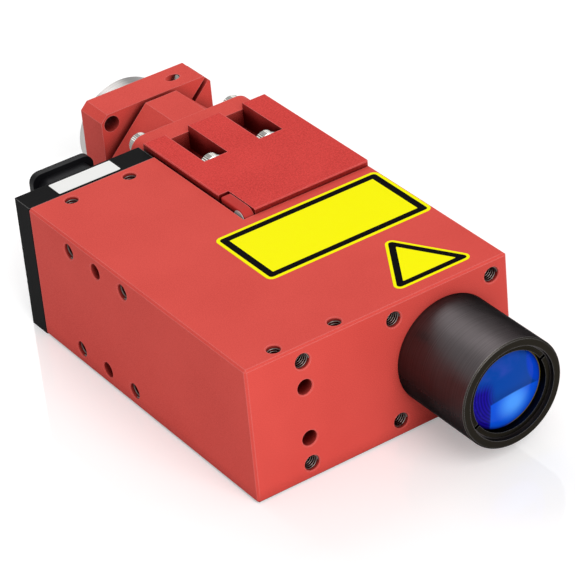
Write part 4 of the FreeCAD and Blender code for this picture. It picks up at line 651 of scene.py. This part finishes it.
def thread_tree():
    """Helical ridge of a thread, along +Z from its mouth into the hole.

    The middle of its square wire stands 3 parts in 10 of the ridge's height off the wall, and its
    corner reaches the other 7. It starts 9 parts in 10 of a pitch below the mouth.
    """
    tree, given = start_tree("thread_in_hole", {"Radius": 3.0 * MM, "Ridge": 0.4 * MM, "Pitch": 1.0 * MM,
                                                "Length": 8.0 * MM})
    off_wall = add(tree, "ShaderNodeMath", {0: given["Ridge"], 1: 0.3}, "Value", operation="MULTIPLY")
    inner = add(tree, "ShaderNodeMath", {0: given["Radius"], 1: off_wall}, "Value", operation="SUBTRACT")
    turns = add(tree, "ShaderNodeMath", {0: given["Length"], 1: given["Pitch"]}, "Value",
                operation="DIVIDE")
    spiral = add(tree, "GeometryNodeCurveSpiral", {
        "Resolution": 28, "Rotations": turns, "Start Radius": inner, "End Radius": inner,
        "Height": given["Length"]}, "Curve")
    level = add(tree, "GeometryNodeSetCurveNormal", {"Curve": spiral}, "Curve", mode="Z_UP")
    crest = add(tree, "ShaderNodeMath", {0: given["Ridge"], 1: 0.7}, "Value", operation="MULTIPLY")
    profile = add(tree, "GeometryNodeCurvePrimitiveCircle", {"Resolution": 4, "Radius": crest}, "Curve",
                  mode="RADIUS")
    ridge = add(tree, "GeometryNodeCurveToMesh", {"Curve": level, "Profile Curve": profile,
                                                  "Fill Caps": True}, "Mesh")
    start = add(tree, "ShaderNodeMath", {0: given["Pitch"], 1: 0.9}, "Value", operation="MULTIPLY")
    place_and_finish(tree, given, raised(tree, ridge, start))
    return tree


def cap_screw_tree():
    """Socket cap screw: knurled head above the point, hexagon socket, and shank below it.

    The knurled band takes 84 parts in 100 of the head's height, and a bevelled crown the rest.
    """
    tree, given = start_tree("cap_screw", {"Head radius": 4.25 * MM, "Head height": 5.0 * MM,
                                           "Shank radius": 2.4 * MM, "Shank length": 20.0 * MM,
                                           "Key radius": 2.3 * MM, "Knurls": 34,
                                           "Knurl depth": 0.12 * MM})
    height = given["Head height"]
    inner = add(tree, "ShaderNodeMath", {0: given["Head radius"], 1: given["Knurl depth"]}, "Value",
                operation="SUBTRACT")
    band_height = add(tree, "ShaderNodeMath", {0: height, 1: 0.84}, "Value", operation="MULTIPLY")
    crown_height = add(tree, "ShaderNodeMath", {0: height, 1: band_height}, "Value",
                       operation="SUBTRACT")
    bevel = add(tree, "ShaderNodeMath", {0: height, 1: 0.10}, "Value", operation="MULTIPLY")
    crown_top = add(tree, "ShaderNodeMath", {0: inner, 1: bevel}, "Value", operation="SUBTRACT")
    drop = add(tree, "ShaderNodeMath", {0: given["Shank length"], 1: -0.5}, "Value",
               operation="MULTIPLY")
    star = add(tree, "GeometryNodeCurveStar", {"Points": given["Knurls"], "Inner Radius": inner,
                                               "Outer Radius": given["Head radius"]}, "Curve")
    face = add(tree, "GeometryNodeFillCurve", {"Curve": star}, "Mesh")
    wall = add(tree, "GeometryNodeExtrudeMesh", {"Mesh": face, "Offset Scale": band_height,
                                                 "Individual": False}, "Mesh")
    under = add(tree, "GeometryNodeFlipFaces", {"Mesh": face}, "Mesh")
    band = add(tree, "GeometryNodeJoinGeometry", {0: [wall, under]}, "Geometry")
    crown = add(tree, "GeometryNodeMeshCone", {
        "Vertices": 64, "Side Segments": 1, "Radius Top": crown_top, "Radius Bottom": inner,
        "Depth": crown_height}, "Mesh", fill_type="NGON")
    crown = raised(tree, crown, band_height)
    key = add(tree, "GeometryNodeMeshCylinder", {"Vertices": 6, "Radius": given["Key radius"],
                                                 "Depth": height}, "Mesh", fill_type="NGON")
    key = raised(tree, key, height)
    cut_crown = add(tree, "GeometryNodeMeshBoolean", {0: crown, 1: key}, "Mesh", operation="DIFFERENCE")
    cut_band = add(tree, "GeometryNodeMeshBoolean", {0: band, 1: key}, "Mesh", operation="DIFFERENCE")
    shank = add(tree, "GeometryNodeMeshCylinder", {"Vertices": 32, "Radius": given["Shank radius"],
                                                   "Depth": given["Shank length"]}, "Mesh",
                fill_type="NGON")
    shank = raised(tree, shank, drop)
    whole = add(tree, "GeometryNodeJoinGeometry", {0: [cut_crown, cut_band, shank]}, "Geometry")
    place_and_finish(tree, given, whole)
    return tree


def grow(name, tree, places, sizes, material):
    """Run a tree on points that each have a direction, and return the result as a plain mesh."""
    points = bpy.data.meshes.new(name)
    points.from_pydata([place for place, facing in places], [], [])
    facing = points.attributes.new("facing", "FLOAT_VECTOR", "POINT")
    facing.data.foreach_set("vector", [c for place, way in places for c in way])
    carrier = link_mesh(f"{name}_points", points)
    modifier = carrier.modifiers.new("grow", "NODES")
    modifier.node_group = tree
    named = {item.name: item.identifier for item in tree.interface.items_tree if item.in_out == "INPUT"}
    for label, value in sizes.items():
        modifier[named[label]] = value
    modifier[named["Material"]] = material
    bpy.context.view_layer.update()
    grown = carrier.evaluated_get(bpy.context.evaluated_depsgraph_get())
    mesh = bpy.data.meshes.new_from_object(grown)
    mesh.name = name
    carrier.modifiers.remove(modifier)
    bpy.data.objects.remove(carrier)
    return link_mesh(name, mesh)


def dress(material, *names):
    """Give CAD nodes their material."""
    for name in names:
        slots = NODES[name].material_slots
        if not slots:
            NODES[name].data.materials.append(material)
        for item in NODES[name].material_slots:
            item.material = material


# Operators

class LASERHEAD_OT_stage(bpy.types.Operator):
    """Camera, floor, studio lights and a white surround"""
    bl_idname = "laserhead.stage"
    bl_label = "Stage"

    def execute(self, context):
        scene = context.scene
        scene.view_settings.view_transform = "Standard"
        self.camera(scene)
        half = scene.head_sizes.floor_size / 2
        ground = CAD_BOX[0].z
        mesh = bpy.data.meshes.new("floor")
        mesh.from_pydata([(-half, -half, ground), (half, -half, ground), (half, half, ground),
                          (-half, half, ground)], [], [(0, 1, 2, 3)])
        mesh.materials.append(acrylic_sheet("white_acrylic_sheet"))
        link_mesh("floor", mesh)
        for name, place, side, power in LAMPS:
            self.light(scene, name, place, side, power)
        self.surround(scene)
        return {"FINISHED"}

    def camera(self, scene):
        """Camera at the photograph's viewing angle."""
        lens = bpy.data.cameras.new("camera")
        lens.sensor_width = SENSOR_WIDTH
        lens.lens = FOCAL_LENGTH
        lens.clip_end = 100.0
        camera = bpy.data.objects.new("camera", lens)
        scene.collection.objects.link(camera)
        azimuth, height, roll = (math.radians(v) for v in (CAMERA_AZIMUTH, CAMERA_HEIGHT, CAMERA_ROLL))
        back = Vector((math.sin(azimuth) * math.cos(height), -math.cos(azimuth) * math.cos(height),
                       math.sin(height)))
        right = Vector((math.cos(azimuth), math.sin(azimuth), 0))
        up = back.cross(right)
        rolled_right = right * math.cos(roll) + up * math.sin(roll)
        rolled_up = up * math.cos(roll) - right * math.sin(roll)
        turn = Matrix((rolled_right, rolled_up, back)).transposed().to_4x4()
        camera.matrix_world = Matrix.Translation(CAMERA_PLACE) @ turn
        scene.camera = camera

    def light(self, scene, name, place, side, power):
        """Square soft light that faces the middle of the object."""
        lamp = bpy.data.lights.new(name, "AREA")
        lamp.size = side
        lamp.energy = power
        item = bpy.data.objects.new(name, lamp)
        scene.collection.objects.link(item)
        aim = LAMP_TARGET - Vector(place)
        item.matrix_world = Matrix.Translation(place) @ aim.to_track_quat("-Z", "Y").to_matrix().to_4x4()

    def surround(self, scene):
        """Soft light from all round, seen as plain white by the camera and by mirrors and glass."""
        world = bpy.data.worlds.new("surround")
        scene.world = world
        world.use_nodes = True
        tree = world.node_tree
        tree.nodes.clear()
        strength = add(tree, "ShaderNodeMapRange", {"Value": shown_rays(tree), "To Min": ROUND_LIGHT},
                       "Result")
        glow = add(tree, "ShaderNodeBackground", {"Color": (1, 1, 1, 1), "Strength": strength},
                   "Background")
        add(tree, "ShaderNodeOutputWorld", {"Surface": glow})


class LASERHEAD_OT_red_parts(bpy.types.Operator):
    """Red anodised finish of the housing, cover block, flange, clamp plate and lever"""
    bl_idname = "laserhead.red_parts"
    bl_label = "Red anodised parts"

    def execute(self, context):
        colours = context.scene.head_colours
        fine = blasted_aluminium("red_anodised_aluminium", colours.red, colours.red_dark,
                                 grain_mm=0.35, depth_mm=0.02)
        dress(fine, "housing", "clamp_plate")
        # Painted shade reaches further on the flange, so that its pocket walls are darker.
        close = blasted_aluminium("red_anodised_aluminium_deeper_painted_shade", colours.red, colours.red_dark,
                                  grain_mm=0.35, depth_mm=0.02, shut_at=0.36, open_at=0.66)
        dress(close, "input_flange")
        deeper = Vector((1.02, 0.72, 0.78))
        coarse_light = Vector(colours.red) * deeper
        coarse_dark = Vector(colours.red_dark) * deeper * 0.78
        # The coarse grain is the cover's own; its painted shade also reaches further from holes and joints.
        coarse = blasted_aluminium("coarse_red_anodised_aluminium", coarse_light, coarse_dark,
                                   grain_mm=0.55, depth_mm=0.05, shut_at=0.46, open_at=0.88)
        dress(coarse, "cover_block")
        lever = blasted_aluminium("milled_red_anodised_aluminium", coarse_light * 0.72, coarse_dark,
                                  grain_mm=0.3, depth_mm=0.01)
        dress(lever, "release_lever")
        return {"FINISHED"}


class LASERHEAD_OT_black_parts(bpy.types.Operator):
    """Black finishes: end plate, objective tube, rings, connector shroud, seals"""
    bl_idname = "laserhead.black_parts"
    bl_label = "Black parts"

    def execute(self, context):
        colours = context.scene.head_colours
        black_dark = [c * 0.6 for c in colours.black]
        plate = blasted_aluminium("black_anodised_aluminium", colours.black, black_dark,
                                  grain_mm=0.35, depth_mm=0.02, gloss=0.03)
        dress(plate, "end_plate")
        tube_dark = [c * 0.75 for c in colours.tube]
        # The tube's front end face is painted darker, as painted shade.
        tube = turned_metal("black_anodised_turned_aluminium", colours.tube, tube_dark, pitch_mm=0.5,
                            depth_mm=0.004, rough=0.4, edge_tint=0.0, painted_front_shade=linear("#2E2B26"))
        dress(tube, "objective_tube")
        ring = turned_metal("black_anodised_turned_ring", linear("#2C2923"), linear("#1E1C18"),
                            pitch_mm=0.5, depth_mm=0.004, rough=0.3, edge_tint=0.0)
        dress(ring, "front_retaining_ring", "lens_spacer", "window_ring", "moving_lens_ring",
              "collimator_lens_ring")
        dress(moulded_plastic("black_glass_filled_nylon", linear("#0B0B0E")), "connector_shroud",
              "connector_insulator")
        dress(soft_rubber("black_nitrile_rubber", linear("#131313")), "tube_seal", "cover_gasket",
              "end_stops")
        dress(moulded_plastic("black_epoxy_moulding", linear("#101012"), grain_mm=0.2, rough=0.45),
              "board_chips", "encoder_reader")
        return {"FINISHED"}


class LASERHEAD_OT_bright_parts(bpy.types.Operator):
    """Bare metal: collimator, small steel parts, connector and the lens drive"""
    bl_idname = "laserhead.bright_parts"
    bl_label = "Bright metal parts"

    def execute(self, context):
        # The collimator carries painted reflection lobes round its axis.
        clear = turned_metal("clear_anodised_turned_aluminium", linear("#C4C0BE"), linear("#9C9997"),
                             pitch_mm=0.4, depth_mm=0.01, rough=0.32, painted_reflection_lobes=0.6)
        dress(clear, "collimator_body")
        # Painted highlight: the pin is nearly white, mostly not metallic and hardly shaded, so it shows
        # bright in its dark recess as a glint.
        glint_bright_steel = machined_metal("pin_steel_painted_bright_as_glint", linear("#F4F4F2"), rough=0.3, painted_shade_factor=0.9,
                               metallic=0.2)
        dress(glint_bright_steel, "lever_pin")
        stainless = machined_metal("stainless_steel", linear("#C9C9C7"), rough=0.24)
        dress(stainless, "cover_washers", "guide_rails", "runner_blocks", "coil_magnet", "board_spacers")
        nickel = machined_metal("nickel_plated_steel", linear("#C4C0B6"), rough=0.2)
        dress(nickel, "connector_shell", "connector_posts")
        gold = machined_metal("gold_plated_bronze", linear("#D9B35A"), rough=0.18)
        dress(gold, "connector_contacts")
        milled = machined_metal("milled_aluminium", linear("#C8CACC"), rough=0.38)
        dress(milled, "lens_carriage", "coil_former")
        oxide = machined_metal("black_oxide_steel", linear("#2A2A2C"), rough=0.42)
        dress(oxide, "coil_yoke", "coil_pole_cap")
        dress(enamelled_wire("enamelled_copper_wire", centre("coil_winding")), "coil_winding")
        dress(solder_mask("green_solder_mask"), "control_board")
        return {"FINISHED"}


class LASERHEAD_OT_optics(bpy.types.Operator):
    """Coated lenses, window and encoder scale"""
    bl_idname = "laserhead.optics"
    bl_label = "Optics"

    def execute(self, context):
        colours = context.scene.head_colours
        front = coated_front_lens_painted_reflections("blue_coated_optical_glass", colours.lens_centre, colours.lens_rim,
                                  colours.lens_painted_reflection)
        dress(front, "front_lens")
        rear = coated_glass("violet_coated_optical_glass", linear("#B9C4FF"), colours.lens_rim,
                            radius_mm=17.3, clear=0.6)
        dress(rear, "rear_objective_lens")
        clear = coated_glass("clear_coated_glass", linear("#DDEBFF"), linear("#C9D6F5"), radius_mm=11.0,
                             clear=0.95)
        dress(clear, "protective_window", "moving_lens", "collimator_lens", "encoder_scale")
        return {"FINISHED"}


class LASERHEAD_OT_threads(bpy.types.Operator):
    """Thread ridges inside the tapped holes of the housing"""
    bl_idname = "laserhead.threads"
    bl_label = "Threads"

    def execute(self, context):
        sizes = context.scene.head_sizes
        left_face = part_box("housing")[0].x
        rows = [z * MM for z in HOLE_ROWS_ABOVE]
        front = [((x * MM, 0.0, z), (0, 1, 0)) for x in FRONT_HOLES_ACROSS for z in rows]
        left = [((left_face, y * MM, z), (1, 0, 0)) for y in LEFT_HOLES_ALONG for z in rows]
        top = [((x * MM, y * MM, HOUSING_TOP), (0, 0, -1)) for x in TOP_HOLES_ACROSS
               for y in TOP_HOLES_ALONG]
        # Painted shade: the thread goes nearly black deep in its hole.
        cut = machined_metal("cut_aluminium_thread", linear("#8A7F7B"), rough=0.3, painted_shade_factor=0.02)
        tree = thread_tree()
        for name, places, (radius, depth) in (("threads_large", front + left, LARGE_THREAD),
                                              ("threads_small", top, SMALL_THREAD)):
            item = grow(name, tree, places, {"Radius": radius * MM, "Ridge": sizes.thread_ridge,
                                             "Pitch": sizes.thread_pitch, "Length": depth * MM}, cut)
            give(item, "head")
        return {"FINISHED"}


class LASERHEAD_OT_screws(bpy.types.Operator):
    """Socket cap screws of the cover, flange, clamp, end plate and control board"""
    bl_idname = "laserhead.screws"
    bl_label = "Cap screws"

    def execute(self, context):
        steel = machined_metal("stainless_screw_steel", linear("#9A9994"), rough=0.22)
        dark = machined_metal("black_oxide_screw_steel", linear("#26262A"), rough=0.4)
        tree = cap_screw_tree()
        rear, right = (0, 1, 0), (1, 0, 0)
        across, along, above = (v * MM for v in COVER_SEAT)
        pockets = [((x, along, above), rear) for x in (-across, across)]
        self.screws("cover_cap_screws", tree, pockets, COVER_SCREW, "head", steel, "steel",
                    "cover_screws")
        across, along, above = (v * MM for v in FLANGE_SEAT)
        ears = [((x, along, z), rear) for x in (-across, across) for z in (-above, above)]
        self.screws("flange_cap_screws", tree, ears, FLANGE_SCREW, "head", steel, "steel",
                    "flange_screws")
        low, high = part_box("end_plate_screws")
        edge, height = PLATE_SCREW[0] * MM, PLATE_SCREW[1] * MM
        corners = [((x, high.y - height, z), rear) for x in (low.x + edge, high.x - edge)
                   for z in (low.z + edge, high.z - edge)]
        self.screws("plate_cap_screws", tree, corners, PLATE_SCREW, "head", dark, "dark_steel",
                    "end_plate_screws")
        slant = Vector((1, 0, -1)).normalized()
        seat = Vector(CLAMP_SEAT) * MM
        self.screws("clamp_cap_screw", tree, [(tuple(seat), tuple(slant))], CLAMP_SCREW, "clamp", steel,
                    "steel", "clamp_screw")
        low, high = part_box("board_screws")
        edge, height = BOARD_SCREW[0] * MM, BOARD_SCREW[1] * MM
        posts = [((high.x - height, y, z), right) for y in (low.y + edge, high.y - edge)
                 for z in (low.z + edge, high.z - edge)]
        self.screws("board_cap_screws", tree, posts, BOARD_SCREW, "head", steel, "steel",
                    "board_screws")
        return {"FINISHED"}

    def screws(self, name, tree, places, measures, body, material, slot, node):
        """One group of like screws, in place of a node's plain ones."""
        sizes = bpy.context.scene.head_sizes
        head, height, shank, length, key = (value * MM for value in measures)
        item = grow(name, tree, places, {
            "Head radius": head, "Head height": height, "Shank radius": shank, "Shank length": length,
            "Key radius": key, "Knurls": sizes.knurls, "Knurl depth": sizes.knurl_depth}, material)
        give(item, body, (node,))


class LASERHEAD_OT_labels(bpy.types.Operator):
    """Three bare labels: white on the end plate, yellow oblong and yellow triangle on the housing"""
    bl_idname = "laserhead.labels"
    bl_label = "Bare labels"

    def execute(self, context):
        colours = context.scene.head_colours
        thickness = context.scene.head_sizes.label_thickness
        yellow = printed_film("yellow_polyester_film", colours.label_yellow)
        black = printed_film("black_print_on_film", linear("#050508"), gloss=0.01, rough=0.5)
        white = printed_film("white_polyester_film", colours.label_white)
        edged = (yellow, black)
        for (name, corners_mm, radius_mm, bands_mm), films in zip(LABELS, (edged, edged, (white,))):
            corners = [Vector(corner) * MM for corner in corners_mm]
            bands = [(inset_mm * MM, slot) for inset_mm, slot in bands_mm]
            give(label_mesh(name, corners, radius_mm * MM, bands, HOUSING_TOP, thickness, films), "head")
        return {"FINISHED"}


STEPS = (
    LASERHEAD_OT_stage,
    LASERHEAD_OT_red_parts,
    LASERHEAD_OT_black_parts,
    LASERHEAD_OT_bright_parts,
    LASERHEAD_OT_optics,
    LASERHEAD_OT_threads,
    LASERHEAD_OT_screws,
    LASERHEAD_OT_labels,
)


class LASERHEAD_PT_steps(bpy.types.Panel):
    """Steps that dress the laser head"""
    bl_idname = "LASERHEAD_PT_steps"
    bl_label = "Laser head"
    bl_space_type = "VIEW_3D"
    bl_region_type = "UI"
    bl_category = "Laser head"

    def draw(self, context):
        layout = self.layout
        for group in (context.scene.head_sizes, context.scene.head_colours):
            for name in group.__annotations__:
                layout.prop(group, name)
        for step in STEPS:
            layout.operator(step.bl_idname)


CLASSES = (HeadColours, HeadSizes, *STEPS, LASERHEAD_PT_steps)


def register():
    for item in CLASSES:
        bpy.utils.register_class(item)
    bpy.types.Scene.head_colours = PointerProperty(type=HeadColours)
    bpy.types.Scene.head_sizes = PointerProperty(type=HeadSizes)


def unregister():
    del bpy.types.Scene.head_sizes
    del bpy.types.Scene.head_colours
    for item in reversed(CLASSES):
        bpy.utils.unregister_class(item)


def main():
    register()
    for step in STEPS:
        getattr(bpy.ops.laserhead, step.bl_idname.split(".")[1])()


if __name__ == "__main__":
    main()
